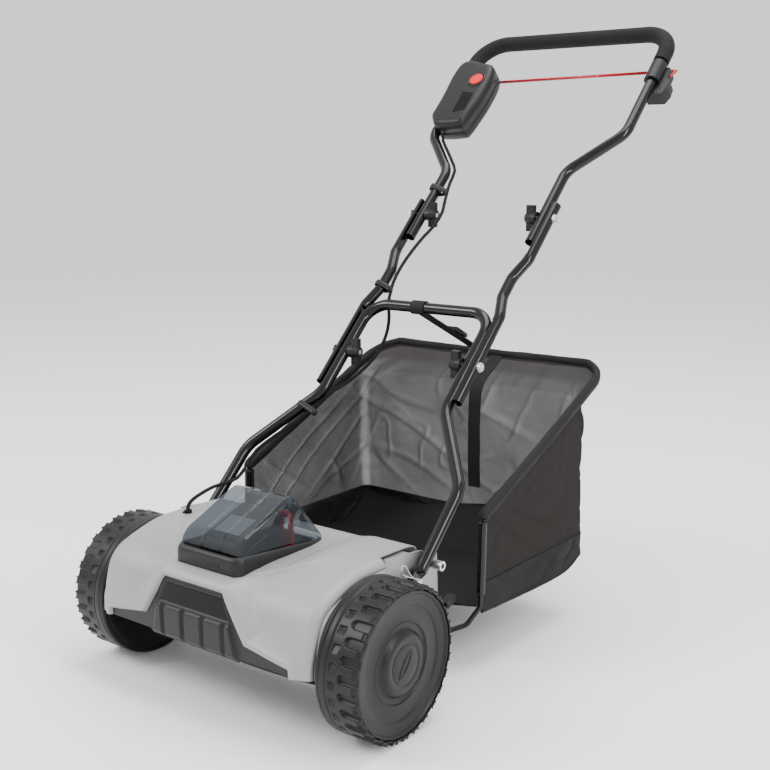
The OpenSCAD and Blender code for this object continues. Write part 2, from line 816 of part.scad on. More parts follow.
module battery_pack() {
    place() color([0.1, 0.1, 0.11]) across(-37, 37)
        polygon([[-68, tray_floor], [-68, 240], [-58, 247], [2, 270], [12, 268], [16, tray_floor]]);
}

module safety_key() {
    place() color([0.7, 0.08, 0.1]) translate([43, 21, tray_floor]) {
        translate([-6, 0, 0]) cube([12, 6, 34]);
        translate([0, 6, 52]) rotate([90, 0, 0]) difference() {
            cylinder(h = 6, r = 11);
            translate([0, 0, -1]) cylinder(h = 8, r = 6);
        }
        translate([-4, 0, 30]) cube([8, 6, 14]);
    }
}

// ---------------------------------------------------------------- grass catcher

side_x = 238;
rim_z = 412;
rim_y = bag_rear + 6;
wire_r = 4;
frame_half = [
    [catcher_hook.x, 147, catcher_hook.y], [catcher_hook.x, 192, catcher_hook.y], [226, 214, 80],
    [side_x, 232, 106], [side_x, 236, 240],
    [side_x, rim_y, rim_z]
];
frame_path = concat(frame_half, [for (i = [len(frame_half) - 1 : -1 : 0]) [-frame_half[i].x, frame_half[i].y, frame_half[i].z]]);

rim_bend = 52;
frame_bends = [0, 14, 14, 14, 14, rim_bend, rim_bend, 14, 14, 14, 14, 0];

module catcher_frame() {
    place() color([0.08, 0.08, 0.08]) swept(rounded(frame_path, frame_bends, 5), wire_r, 10);
}

cloth = 1.6;
rim_slope = atan((rim_z - 240) / (rim_y - 236));

module bag_plan(inset) {
    half = bag_w / 2 - 8 - inset;
    rear = bag_rear - inset;
    hull() {
        translate([-half, 240]) square([2 * half, 10]);
        both_sides() translate([half - 60, rear - 60]) circle(60, $fn = 32);
    }
}

module bag_wall(low, high, front) {
    difference() {
        translate([0, 0, low]) linear_extrude(high - low) bag_plan(0);
        translate([0, 0, low - 1]) linear_extrude(high - low + 2) bag_plan(cloth);
        translate([-bag_w / 2 + 8 + cloth, front - 30, low - 1]) cube([bag_w - 16 - 2 * cloth, 60, high - low + 2]);
    }
}

seam_z = 134;

module catcher_mesh() {
    place() color([0.45, 0.45, 0.46, 0.8]) difference() {
        bag_wall(seam_z, 430, 240);
        translate([0, 236, 240 - wire_r - 0.6]) rotate([rim_slope, 0, 0]) translate([-400, -300, 0]) cube([800, 900, 300]);
    }
}

module catcher_base() {
    place() color([0.06, 0.06, 0.06]) {
        bag_wall(bag_floor_z, seam_z, 240);
        translate([0, 0, bag_floor_z]) linear_extrude(cloth) bag_plan(cloth / 2);
        translate([-180, 158, bag_floor_z]) cube([360, 84, cloth]);
    }
}

// the support strap runs from the crossbar to the catcher's rim; its buckle parts half way
strap_w = 24;
strap_t = 1.8;
strap_x = -23;
strap_top = [449, 496];
strap_slope = -25.8;
strap_upper = 100;
strap_lower = 72;

module strap_length(from, long) {
    translate([strap_x - strap_w / 2, strap_top.x, strap_top.y]) rotate([strap_slope, 0, 0])
        translate([0, from, 0]) cube([strap_w, long, strap_t]);
}

module buckle(from) {
    translate([strap_x - strap_w / 2 - 4, strap_top.x, strap_top.y]) rotate([strap_slope, 0, 0])
        translate([0, from, strap_t]) cube([strap_w + 8, 20, 7]);
}

module catcher_webbing() {
    place() color([0.05, 0.05, 0.05]) {
        translate([-12, bag_rear - 22, 180]) cube([24, 1.6, 222]);
        strap_length(strap_upper + gap, strap_lower);
        buckle(strap_upper + gap);
    }
}

module support_strap() {
    place() color([0.05, 0.05, 0.05]) {
        on_handle() translate([-36, cross_s, 0]) rotate([0, 90, 0]) difference() {
            cylinder(h = 26, r = tube_r + 2.4);
            translate([0, 0, -1]) cylinder(h = 28, r = tube_r);
        }
        strap_length(-8, strap_upper + 8);
        buckle(strap_upper - 20);
    }
}

// ---------------------------------------------------------------- cable

// the route of the switch cable, from the switch box to the hood
cable_high = [
    [-182, 727, 804], [-176, 718, 790], [-150, 698, 768], [-129, 680, 752], [-110, 662, 735],
    [-106, 640, 712], [-100, 622, 694], [-90, 600, 676]
];
cable_mid = [
    [-90, 599.3, 675.3], [-86, 588, 662], [-87, 566, 640], [-96, 545, 620], [-103, 520, 596],
    [-108, 495, 570], [-106, 470, 545], [-104, 460, 528]
];
cable_low = [
    [-104, 459, 526.6], [-103, 452, 512], [-100, 450, 490], [-100, 446, 465], [-102, 430, 436],
    [-106, 400, 410], [-112, 360, 388], [-118, 320, 374], [-128, 288, 352], [-152, 262, 326],
    [-176, 239, 304], [-197, 214, 280], [-199, 190, 256]
];
cable_end = [
    [-199, 188.8, 254.9], [-199, 170, 242], [-197, 140, 240], [-192, 110, 242], [-186, 80, 240],
    [-178, 54, 238], [-172, 38, 234], [-170, 34, 228], [-170, 34, 216]
];

module cable_upper() {
    place() color([0.06, 0.06, 0.06]) swept(spline(cable_high, 2), cable_d / 2, 8);
}

module cable_middle() {
    place() color([0.06, 0.06, 0.06]) swept(spline(cable_mid, 2), cable_d / 2, 8);
}

module cable_lower() {
    place() color([0.06, 0.06, 0.06]) swept(spline(cable_low, 2), cable_d / 2, 8);
}

module cable_deck() {
    place() color([0.06, 0.06, 0.06]) swept(spline(cable_end, 2), cable_d / 2, 8);
}

side_plate_left();
side_plate_right();
tie_bars();
bed_knife_bar();
bed_knife();
deck_screws();
hood_cover();
front_panel();
name_plate();
battery_tray();
motor();
motor_bracket();
drive_belt();
axle_stubs();
reel_bearings();
pivot_studs();
rest_studs();
stud_clips();
cable_gland();
cable_deck();
wheel_left();
tyre_left();
wheel_cover_left();
wheel_right();
tyre_right();
wheel_cover_right();
reel_shaft();
reel_discs();
reel_blades();
reel_pulley();
motor_pulley();
height_bracket();
height_lever();
rear_roller();
lower_handle_tube();
support_strap();
cable_lower();
middle_tubes();
handle_bolts();
cable_middle();
upper_handle_tube();
foam_grip();
switch_box();
switch_box_back();
bail_bracket();
cable_upper();
lower_knob_left();
lower_knob_right();
upper_knob_left();
upper_knob_right();
bail_lever();
safety_button();
battery_cover();
battery_pack();
safety_key();
catcher_frame();
catcher_mesh();
catcher_base();
catcher_webbing();
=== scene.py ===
import math

import bmesh
import bpy
import numpy as np
from mathutils import Matrix, Vector, noise


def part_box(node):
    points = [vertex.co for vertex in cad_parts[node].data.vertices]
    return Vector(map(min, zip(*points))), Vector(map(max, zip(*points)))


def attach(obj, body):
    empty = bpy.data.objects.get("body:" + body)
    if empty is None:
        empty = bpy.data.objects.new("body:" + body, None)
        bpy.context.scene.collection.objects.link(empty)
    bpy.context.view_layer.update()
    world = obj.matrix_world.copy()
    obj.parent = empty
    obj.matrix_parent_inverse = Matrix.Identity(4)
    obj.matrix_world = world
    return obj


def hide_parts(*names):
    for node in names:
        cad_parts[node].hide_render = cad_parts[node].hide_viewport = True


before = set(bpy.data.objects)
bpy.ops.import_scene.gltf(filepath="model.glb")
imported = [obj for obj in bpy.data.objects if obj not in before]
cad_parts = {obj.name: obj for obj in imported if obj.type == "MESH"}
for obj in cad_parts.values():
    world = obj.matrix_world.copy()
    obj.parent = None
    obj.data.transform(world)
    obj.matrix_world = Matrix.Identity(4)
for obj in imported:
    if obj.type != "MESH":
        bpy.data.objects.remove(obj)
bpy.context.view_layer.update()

# ------------------------------------------------------------------ camera, light and floor
# The mower stands on a pale studio floor. Positions below are in millimetres from the
# wheel axle line at ground level: x across, y back, z up.
wheel_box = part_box("wheel_right")
AXLE_Y = (wheel_box[0][1] + wheel_box[1][1]) / 2 * 1000


def at(x, y, z):
    return Vector((x, y + AXLE_Y, z)) / 1000


# the handle's plane: x across, s up the slope from the lower bolts, n out of the plane
HINGE_Y, HINGE_Z, HALF = 361, 437, math.sqrt(0.5)


def up_handle(x, s, n=0):
    return at(x, HINGE_Y + HALF * (s - n), HINGE_Z + HALF * (s + n))


camera_data = bpy.data.cameras.new("camera")
camera_data.lens = 54.24
camera_data.sensor_width = 36
camera_data.clip_end = 30
camera = bpy.data.objects.new("camera", camera_data)
camera.location = at(1118.8, -1137.3, 754.1)
camera.rotation_euler = (math.radians(90 - 10.97), 0, math.radians(37.72))
bpy.context.scene.collection.objects.link(camera)
bpy.context.scene.camera = camera

world = bpy.data.worlds.new("studio")
world.use_nodes = True
world.node_tree.nodes["Background"].inputs["Color"].default_value = (1.0, 1.0, 1.0, 1)
world.node_tree.nodes["Background"].inputs["Strength"].default_value = 1.2
bpy.context.scene.world = world


def softbox(name, place, target, size, power):
    lamp = bpy.data.lights.new(name, "AREA")
    lamp.shape = "RECTANGLE"
    lamp.size, lamp.size_y = size
    lamp.energy = power
    box = bpy.data.objects.new(name, lamp)
    box.location = place
    box.rotation_euler = (Vector(target) - Vector(place)).to_track_quat("-Z", "Y").to_euler()
    bpy.context.scene.collection.objects.link(box)


softbox("key", (-1.8, -2.2, 2.6), (0, 0, 0.3), (1.4, 1.4), 95)
softbox("side", (2.6, -0.4, 1.9), (0, 0, 0.4), (0.35, 2.2), 60)
softbox("top", (0.2, 0.6, 3.0), (0, 0.1, 0.4), (2.0, 2.0), 75)


def material(name, colour, rough=0.5, metal=0.0, coat=0.0, specular=0.5):
    made = bpy.data.materials.new(name)
    made.use_nodes = True
    shader = made.node_tree.nodes["Principled BSDF"]
    shader.inputs["Base Color"].default_value = (*colour, 1)
    shader.inputs["Roughness"].default_value = rough
    shader.inputs["Metallic"].default_value = metal
    shader.inputs["Coat Weight"].default_value = coat
    shader.inputs["Specular IOR Level"].default_value = specular
    return made, made.node_tree, shader


floor_paint, _, _ = material("floor_paint", (0.95, 0.95, 0.95), rough=0.95, specular=0.1)


def mesh_object(name, verts, faces, paint, smooth=True):
    mesh = bpy.data.meshes.new(name)
    mesh.from_pydata([tuple(v) for v in verts], [], faces)
    mesh.polygons.foreach_set("use_smooth", [smooth] * len(mesh.polygons))
    mesh.materials.append(paint)
    mesh.update()
    made = bpy.data.objects.new(name, mesh)
    bpy.context.scene.collection.objects.link(made)
    return made


floor = mesh_object("floor", [(-9, -9, 0), (9, -9, 0), (9, 9, 0), (-9, 9, 0)], [(0, 1, 2, 3)], floor_paint)

# ------------------------------------------------------------------ shader effects shared below


def new_group(name, inputs, outputs):
    """An empty shader group with float inputs (name, default) and (name, kind) outputs."""
    group = bpy.data.node_groups.new(name, "ShaderNodeTree")
    for label, value in inputs:
        socket = group.interface.new_socket(label, in_out="INPUT", socket_type="NodeSocketFloat")
        socket.default_value = value
    for label, kind in outputs:
        group.interface.new_socket(label, in_out="OUTPUT", socket_type=kind)
    start = group.nodes.new("NodeGroupInput")
    end = group.nodes.new("NodeGroupOutput")
    return group, start, end


def grain_group():
    """Fine moulded or painted grain: a bump normal and a slow blotch mask."""
    group, start, end = new_group(
        "grain", [("Scale", 900.0), ("Height", 0.05)],
        [("Normal", "NodeSocketVector"), ("Blotch", "NodeSocketFloat")])
    nodes, links = group.nodes, group.links
    coords = nodes.new("ShaderNodeTexCoord")
    fine = nodes.new("ShaderNodeTexNoise")
    fine.inputs["Detail"].default_value = 2.0
    slow = nodes.new("ShaderNodeTexNoise")
    slow.inputs["Scale"].default_value = 14.0
    slow.inputs["Detail"].default_value = 4.0
    bump = nodes.new("ShaderNodeBump")
    bump.inputs["Distance"].default_value = 0.001
    links.new(coords.outputs["Object"], fine.inputs["Vector"])
    links.new(coords.outputs["Object"], slow.inputs["Vector"])
    links.new(start.outputs["Scale"], fine.inputs["Scale"])
    links.new(start.outputs["Height"], bump.inputs["Strength"])
    links.new(fine.outputs["Fac"], bump.inputs["Height"])
    links.new(bump.outputs["Normal"], end.inputs["Normal"])
    links.new(slow.outputs["Fac"], end.inputs["Blotch"])
    return group


GRAIN = grain_group()


def grained(name, colour, rough, scale=900.0, height=0.3, spread=0.12, metal=0.0, coat=0.0, specular=0.2):
    """A material whose surface has GRAIN and whose roughness and tone wander a little."""
    made, tree, shader = material(name, colour, rough, metal, coat, specular)
    nodes, links = tree.nodes, tree.links
    grain = nodes.new("ShaderNodeGroup")
    grain.node_tree = GRAIN
    grain.inputs["Scale"].default_value = scale
    grain.inputs["Height"].default_value = height
    tone = nodes.new("ShaderNodeMapRange")
    tone.inputs["To Min"].default_value = rough - spread
    tone.inputs["To Max"].default_value = rough + spread
    shade = nodes.new("ShaderNodeMix")
    shade.data_type = "RGBA"
    shade.inputs["A"].default_value = (*[c * 0.88 for c in colour], 1)
    shade.inputs["B"].default_value = (*[min(1, c * 1.12) for c in colour], 1)
    links.new(grain.outputs["Normal"], shader.inputs["Normal"])
    links.new(grain.outputs["Blotch"], tone.inputs["Value"])
    links.new(grain.outputs["Blotch"], shade.inputs["Factor"])
    links.new(tone.outputs["Result"], shader.inputs["Roughness"])
    links.new(shade.outputs["Result"], shader.inputs["Base Color"])
    return made


def paint_node(name, paint):
    """Gives a CAD node its finish."""
    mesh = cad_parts[name].data
    mesh.polygons.foreach_set("use_smooth", [True] * len(mesh.polygons))
    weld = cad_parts[name].modifiers.new("weld", "WELD")
    weld.merge_threshold = 0.000002
    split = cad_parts[name].modifiers.new("split", "EDGE_SPLIT")
    split.split_angle = math.radians(32)
    mesh.materials.clear()
    mesh.materials.append(paint)


# ------------------------------------------------------------------ handle tubes
# Bent steel tubes with a gloss black powder coat; they keep their machined shape.
tube_paint = grained("tube_paint", (0.004, 0.0036, 0.0035), rough=0.17, scale=400, height=0.015,
                     spread=0.02, specular=0.32)
for tube in ("lower_handle_tube", "middle_tubes", "upper_handle_tube", "catcher_frame"):
    paint_node(tube, tube_paint)

# zinc-plated bolts, studs, clips and shafts
zinc = grained("zinc", (0.62, 0.62, 0.61), rough=0.32, scale=300, height=0.08, spread=0.1, metal=0.9)
for part in ("handle_bolts", "pivot_studs", "rest_studs", "stud_clips", "deck_screws", "tie_bars",
             "axle_stubs",
             "reel_bearings", "reel_shaft", "reel_pulley", "motor_pulley", "motor_bracket"):
    paint_node(part, zinc)

rubber = grained("rubber", (0.0105, 0.0098, 0.0096), rough=0.75, scale=1600, height=0.5, specular=0.15)
galvanised = grained("galvanised", (0.33, 0.34, 0.34), rough=0.45, scale=120, height=0.05, spread=0.1,
                     metal=0.7, specular=0.4)
for part in ("side_plate_left", "side_plate_right", "height_bracket", "bed_knife_bar"):
    paint_node(part, galvanised)
reel_paint = grained("reel_paint", (0.02, 0.02, 0.021), rough=0.4, scale=500, height=0.1)
for part in ("reel_blades", "reel_discs", "motor"):
    paint_node(part, reel_paint)
black_plastic = grained("black_plastic", (0.008, 0.0075, 0.0078), rough=0.4, scale=1400, height=0.2,
                        specular=0.25)
for part in ("foam_grip", "cable_upper", "cable_middle", "cable_lower", "cable_deck", "cable_gland",
             "drive_belt"):
    paint_node(part, rubber)

for part in ("lower_knob_left", "lower_knob_right", "upper_knob_left", "upper_knob_right", "bail_bracket",
             "height_lever", "front_panel", "battery_tray", "battery_pack", "switch_box", "switch_box_back",
             "rear_roller"):
    paint_node(part, black_plastic)

# ------------------------------------------------------------------ wheels
# Wide moulded plastic wheels: a plain inner band, then two staggered rows of grip slots,
# the outer row open at the face. The face has turned steps round a domed hub boss.
WHEEL_R, WHEEL_IN = 107.0, 207.5
PITCHES = 28
STEPS = 30
wheel_black = grained("wheel_black", (0.0085, 0.0075, 0.0085), rough=0.4, scale=1100, height=0.12,
                      spread=0.05, specular=0.25)


def smooth(low, high, value):
    t = np.clip((value - low) / (high - low), 0, 1)
    return t * t * (3 - 2 * t)


def slot_depth(turn, x):
    """Depth in mm of the tread's slots at a turn (in pitches) and a place x across the tread."""
    across = np.abs((turn % 1) - 0.5)
    half = 0.27
    nose = 246 + 7 * (1 - np.sqrt(np.clip(1 - (across / half) ** 2, 0, 1)))
    outer = smooth(half + 0.02, half - 0.035, across) * smooth(nose - 1.2, nose + 0.6, x) * 4.6
    shifted = (turn + 0.5) % 1
    ramp = smooth(0.24, 0.29, shifted) * np.clip((0.80 - shifted) / 0.45, 0, 1)
    tip = 241.5 - 5 * np.abs(shifted - 0.42)
    inner = ramp * smooth(229.5, 231, x) * smooth(tip + 1, tip - 0.6, x) * 3.4
    teeth = smooth(0.20, 0.17, np.abs(((turn + 0.5) % 1) - 0.5)) * smooth(268.5, 269.6, x) * 2.2
    return np.maximum(np.maximum(outer, inner), teeth)


def tread_profile():
    """(x, r) across the tyre, inner edge to outer edge, with its two fine grooves."""
    points = [(WHEEL_IN, 99.0), (WHEEL_IN, 103.0), (207.9, 105.2), (209, 106.4), (211, 106.9)]
    points += [(x, WHEEL_R) for x in (212.6, 213.3)] + [(213.7, 106.1), (214.2, 106.1), (214.6, WHEEL_R)]
    points += [(x, WHEEL_R) for x in (218, 222, 224.8)] + [(225.3, 106.0), (226.0, 106.0), (226.5, WHEEL_R)]
    points += [(x, WHEEL_R) for x in np.arange(228, 272.1, 0.8)]
    points += [(273, 106.7), (273.9, 106.0), (274.5, 105.0), (274.9, 103.6), (275, 102.2), (274.4, 101.2),
               (272.5, 100.6),
               (271, 99.8)]
    return np.array(points)


def revolved(name, profile, steps, side, paint, depth=None):
    """A closed-round mesh from an (x, r) profile, on the right wheel's axle or mirrored."""
    angle = np.arange(steps) * 2 * math.pi / steps
    x, r = profile[:, 0], profile[:, 1]
    grid = np.zeros((steps, len(profile), 3))
    radius = np.repeat(r[None, :], steps, 0)
    if depth is not None:
        turn = (angle * PITCHES / (2 * math.pi))[:, None]
        fade = smooth(99.5, 104.0, r)[None, :]
        radius = radius - depth(turn, x[None, :]) * fade
    grid[:, :, 0] = side * x[None, :]
    grid[:, :, 1] = radius * np.cos(angle)[:, None]
    grid[:, :, 2] = radius * np.sin(angle)[:, None] + WHEEL_R
    verts = grid.reshape(-1, 3)
    verts[:, 1] += AXLE_Y
    across, faces = len(profile), []
    for i in range(steps):
        j = (i + 1) % steps
        for k in range(across - 1):
            face = (i * across + k, i * across + k + 1, j * across + k + 1, j * across + k)
            faces.append(face if side < 0 else face[::-1])
    return mesh_object(name, verts / 1000, faces, paint)


face_profile = np.array([
    (208.5, 15), (208.5, 90.5), (WHEEL_IN + 0.4, 91.5), (WHEEL_IN + 0.2, 98.6),
    (WHEEL_IN + 0.6, 99.2), (240, 99.2), (270.6, 99.4), (272.4, 99.2), (273.2, 98.2), (273.3, 96.6),
                         (272.6, 95.2),
    (270.8, 94.2), (269.9, 93.2), (269.6, 92), (269.0, 79.6), (268.6, 78.6), (267.6, 77.9), (267.2, 77.0),
    (267.0, 76), (266.6, 57.6), (266.9, 56.8), (267.5, 56.2), (267.4, 55.4), (266.2, 54.8), (265.2, 54.0),
    (265.0, 53), (265.4, 47.0), (267.2, 45.0), (270.2, 42.6), (272.4, 39.4), (273.2, 36), (273.0, 29.4),
    (272.4, 28.4), (272.3, 27.6), (272.9, 27.0), (273.2, 26.0), (273.3, 14), (273.3, 5), (273.3, 0.4)])
for side, tyre, wheel, cover, body in (
        (1, "tyre_right", "wheel_right", "wheel_cover_right", "wheel_r"),
        (-1, "tyre_left", "wheel_left", "wheel_cover_left", "wheel_l")):
    tread = revolved("tread_" + tyre, tread_profile(), PITCHES * STEPS, side, wheel_black, slot_depth)
    hub = revolved("hub_" + wheel, face_profile, 180, side, wheel_black)
    # the blank oval raised on the boss
    ring, faces = [], []
    for k in range(96):
        a = 2 * math.pi * k / 96
        u, v = 21.5 * math.cos(a), 5.6 * math.sin(a) * (1 - 0.25 * math.cos(a) ** 2)
        tilt = math.radians(52)
        for grow, lift in ((1.06, -0.3), (1.0, 0.9), (0.93, 1.1), (0.86, 0.2), (0.84, -0.3)):
            y = (u * math.cos(tilt) - v * math.sin(tilt)) * grow
            z = (u * math.sin(tilt) + v * math.cos(tilt)) * grow
            ring.append(at(side * (273.3 + lift), y, z + WHEEL_R))
    for k in range(96):
        for j in range(4):
            a, b = k * 5 + j, ((k + 1) % 96) * 5 + j
            faces.append((a, b, b + 1, a + 1) if side > 0 else (a, a + 1, b + 1, b))
    oval = mesh_object("oval_" + wheel, ring, faces, wheel_black)
    for piece in (tread, hub, oval):
        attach(piece, body)
    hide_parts(tyre)
    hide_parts(wheel, cover)
# ------------------------------------------------------------------ hood
# One silver-grey injection moulding. Its skin rolls over to the sides and carries a raised
# lip round the front opening and two shoulders beside the battery housing.
hood_paint = grained("hood_paint", (0.27, 0.275, 0.275), rough=0.36, scale=1300, height=0.3, spread=0.05,
                     specular=0.45)
HOOD_HALF = 203.0
HOOD_LINE = np.array([
    (-116.5, 104), (-115, 118), (-113, 133), (-110.5, 148), (-107, 162), (-102, 176), (-94.5, 188),
                      (-84, 197.5),
    (-71, 204.5), (-55, 209.5), (-32, 213.5), (-8, 216), (18, 217.5), (46, 218.3), (75, 218.2), (100, 217.4),
    (118, 216), (128, 213.5), (132, 210), (133, 206)])
# the middle of the front stands forward as a steeper snout that frames the mouth
SNOUT_LINE = np.array([(-118.5, 104), (-119.5, 130), (-119.5, 155), (-118.5, 178), (-117, 189),
                       (-113.5, 196.5),
                       (-107, 201.5), (-97, 205.5), (-82, 208), (-55, 209.5)])
MOUTH = [(-57, 190), (57, 190), (98, 127), (173, 114.5), (173, 96), (-173, 96), (-173, 114.5), (-98, 127)]


def resample(points, count):
    """A smooth line through points, as count evenly spaced points."""
    p = np.array(points, float)
    padded = np.vstack([2 * p[0] - p[1], p, 2 * p[-1] - p[-2]])
    dense = []
    for i in range(1, len(padded) - 2):
        a, b, c, d = padded[i - 1], padded[i], padded[i + 1], padded[i + 2]
        for t in np.arange(0, 1, 0.05):
            dense.append(0.5 * (2 * b + (c - a) * t + (2 * a - 5 * b + 4 * c - d) * t ** 2
                                + (3 * b - a - 3 * c + d) * t ** 3))
    dense.append(padded[-2])
    dense = np.array(dense)
    length = np.concatenate([[0], np.cumsum(np.linalg.norm(np.diff(dense, axis=0), axis=1))])
    wanted = np.linspace(0, length[-1], count)
    return np.stack([np.interp(wanted, length, dense[:, k]) for k in range(dense.shape[1])], 1)


def outline_distance(px, pz, outline):
    """Distance in the plane to a closed outline, negative inside."""
    best = np.full(px.shape, 1e9)
    inside = np.zeros(px.shape, bool)
    for (ax, az), (bx, bz) in zip(outline, outline[1:] + outline[:1]):
        dx, dz = bx - ax, bz - az
        t = np.clip(((px - ax) * dx + (pz - az) * dz) / (dx * dx + dz * dz), 0, 1)
        best = np.minimum(best, np.hypot(px - ax - t * dx, pz - az - t * dz))
        crosses = (az > pz) != (bz > pz)
        with np.errstate(divide="ignore", invalid="ignore"):
            hit = px < (bx - ax) * (pz - az) / (bz - az) + ax
        inside ^= crosses & hit
    return np.where(inside, -best, best)


def hood_grid():
    split = 9
    line = np.vstack([resample(HOOD_LINE[:split + 1], 110), resample(HOOD_LINE[split:], 90)[1:]])
    nose = np.vstack([resample(SNOUT_LINE, 110), line[110:]])
    tangent = np.gradient(line, axis=0)
    tangent /= np.linalg.norm(tangent, axis=1)[:, None]
    normal = np.stack([-tangent[:, 1], tangent[:, 0]], 1)
    xs = np.concatenate([np.linspace(-HOOD_HALF, -HOOD_HALF + 14, 12),
                         np.linspace(-HOOD_HALF + 16, HOOD_HALF - 16, 210),
                         np.linspace(HOOD_HALF - 14, HOOD_HALF, 12)])
    x = np.repeat(xs[None, :], len(line), 0)
    side = np.abs(x)
    near = outline_distance(x, np.repeat(nose[:, 1][:, None], x.shape[1], 1), MOUTH)
    over_top = smooth(75, 48, side) * smooth(150, 180, nose[:, 1][:, None])
    weight = np.maximum(smooth(40, 11, near), over_top)
    y0 = line[:, 0][:, None] + weight * (nose[:, 0] - line[:, 0])[:, None]
    z0 = line[:, 1][:, None] + weight * (nose[:, 1] - line[:, 1])[:, None]
    # rolled edges at both sides
    roll = 13.0
    over = np.clip(side - (HOOD_HALF - roll), 0, roll)
    lift = -(roll - np.sqrt(roll ** 2 - over ** 2))
    # shoulders beside the battery housing, and the saddle it sits in
    top = smooth(-75, 10, y0)
    lift = lift + 4.5 * top * smooth(92, 125, side) - 4.0 * top * smooth(104, 88, side) * smooth(85, 40, y0)
    lift = lift - 3.0 * smooth(150, 203, side) * (1 - top)
    # front: the lip round the opening, a soft valley outside it, and the flat cheeks
    distance = outline_distance(x, z0, MOUTH)
    front = smooth(-60, -95, y0)
    lip = smooth(13.5, 8.5, distance) * smooth(0.2, 3.0, distance) * 3.6
    valley = -2.4 * np.exp(-((distance - 20) / 6) ** 2)
    sunk = -7.0 * smooth(0.8, -1.4, distance)
    lift = lift + front * (lip + valley + sunk)
    # a crease from the housing out to the wheel arch
    crease = np.exp(-((side - 84 - (y0 + 60) * 0.9) / 5.0) ** 2) * smooth(-88, -50, y0) * smooth(40, -15, y0)
    lift = lift - 1.6 * crease
    y = y0 + normal[:, 0][:, None] * lift
    z = z0 + normal[:, 1][:, None] * lift
    return x, y, z, distance, front


x, y, z, distance, front = hood_grid()
rows, cols = x.shape
skirt = 26
verts = [at(a, b, c) for a, b, c in zip(x.ravel(), y.ravel(), z.ravel())]
faces = []
for i in range(rows - 1):
    for k in range(cols - 1):
        if distance[i, k] < -3.0 and distance[i + 1, k + 1] < -3.0 and z[i, k] < 199:
            continue
        if abs(x[i, k]) > 190 and y[i, k] > 47:
            continue
        if abs(x[i, k]) < 55 and -84 < y[i, k] < 70:
            continue
        a = i * cols + k
        faces.append((a, a + 1, a + cols + 1, a + cols))
hood = mesh_object("hood_skin", verts, faces, hood_paint)
side_rows = [i for i in range(rows) if y[i, 0] < 47]
for sign, k in ((-1, 0), (1, cols - 1)):
    wall, wall_faces = [], []
    count = len(side_rows)
    for depth in (0.0, 1.0):
        for i in side_rows:
            toward = Vector((0, -10 - y[i, k], 120 - z[i, k])).normalized() * 15 * depth
            wall.append(at(sign * (HOOD_HALF + 0.6 * depth), y[i, k] + toward.y, z[i, k] + toward.z))
    for i in range(count - 1):
        face = (i, i + 1, count + i + 1, count + i)
        wall_faces.append(face if sign > 0 else face[::-1])
    flank = mesh_object(f"hood_flank_{k}", wall, wall_faces, hood_paint)
    thick = flank.modifiers.new("thick", "SOLIDIFY")
    thick.thickness = 0.0022
    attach(flank, "deck")
thick = hood.modifiers.new("thick", "SOLIDIFY")
thick.thickness = 0.0024
thick.offset = -1
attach(hood, "deck")
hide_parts("hood_cover")
# ------------------------------------------------------------------ front panel
# Black moulding clipped into the hood's mouth: thin wings at the sides and a ribbed bumper
# in the middle that carries a blank plate.
front_black = grained("front_black", (0.010, 0.0095, 0.010), rough=0.42, scale=1500, height=0.12,
                      spread=0.05, specular=0.28)


def snout_y(z):
    order = np.argsort(SNOUT_LINE[:6, 1])
    return np.interp(z, SNOUT_LINE[:6, 1][order], SNOUT_LINE[:6, 0][order])


PANEL = [(-57, 190), (57, 190), (98, 127), (173, 114.5), (173, 104), (93, 105), (86, 101), (-86, 101),
         (-93, 105),
         (-173, 104), (-173, 114.5), (-98, 127)]
xs, zs = np.arange(-174, 174.1, 1.2), np.arange(100, 192, 1.0)
px, pz = np.meshgrid(xs, zs)
edge = outline_distance(px, pz, PANEL)
base = snout_y(pz) + 3.2
side = np.abs(px)
flare = 80 - (pz - 105) * 0.24
block = smooth(flare + 7, flare, side)
out = 1.5 * block
# the ribbed band: raised blocks with chamfered tops between narrow grooves
ribbed = smooth(150.5, 145, pz) * smooth(100, 108, pz)
out += 4.2 * ribbed * smooth(flare + 3, flare - 1, side)
for groove in (-59, -19.5, 19.5, 59):
    out -= 4.6 * ribbed * smooth(4.4, 2.2, np.abs(px - groove))
plate = outline_distance(px, pz, [(-54, 181.5), (54, 181.5), (67, 153), (-67, 153)])
out -= 1.6 * smooth(1.0, -0.4, plate)
out += 0.9 * smooth(4.2, 3.0, plate) * smooth(1.0, 2.0, plate)
py = base - out
verts = [at(a, b, c) for a, b, c in zip(px.ravel(), py.ravel(), pz.ravel())]
cols, faces = len(xs), []
for i in range(len(zs) - 1):
    for k in range(cols - 1):
        if max(edge[i, k], edge[i + 1, k + 1], edge[i, k + 1], edge[i + 1, k]) > 1.0:
            continue
        a = i * cols + k
        faces.append((a, a + 1, a + cols + 1, a + cols))
panel = mesh_object("front_insert", verts, faces, front_black)
thick = panel.modifiers.new("thick", "SOLIDIFY")
thick.thickness = 0.002
thick.offset = -1
gloss_black, _, _ = material("gloss_black", (0.003, 0.003, 0.003), rough=0.12, specular=0.12)
plate_verts = [at(x, float(snout_y(z)) + 3.2 - 0.6, z) for x,
               z in ((-53.3, 180.8), (53.3, 180.8), (66, 153.7), (-66, 153.7))]
plate = mesh_object("blank_plate", plate_verts, [(3, 2, 1, 0)], gloss_black, smooth=False)
for piece in (panel, plate):
    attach(piece, "deck")
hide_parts("front_panel")
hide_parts("name_plate")

# ------------------------------------------------------------------ battery housing
# A black bezel stands in the hood's saddle and a hinged smoked cover closes over the
# battery, which plugs in below a red removable safety key.


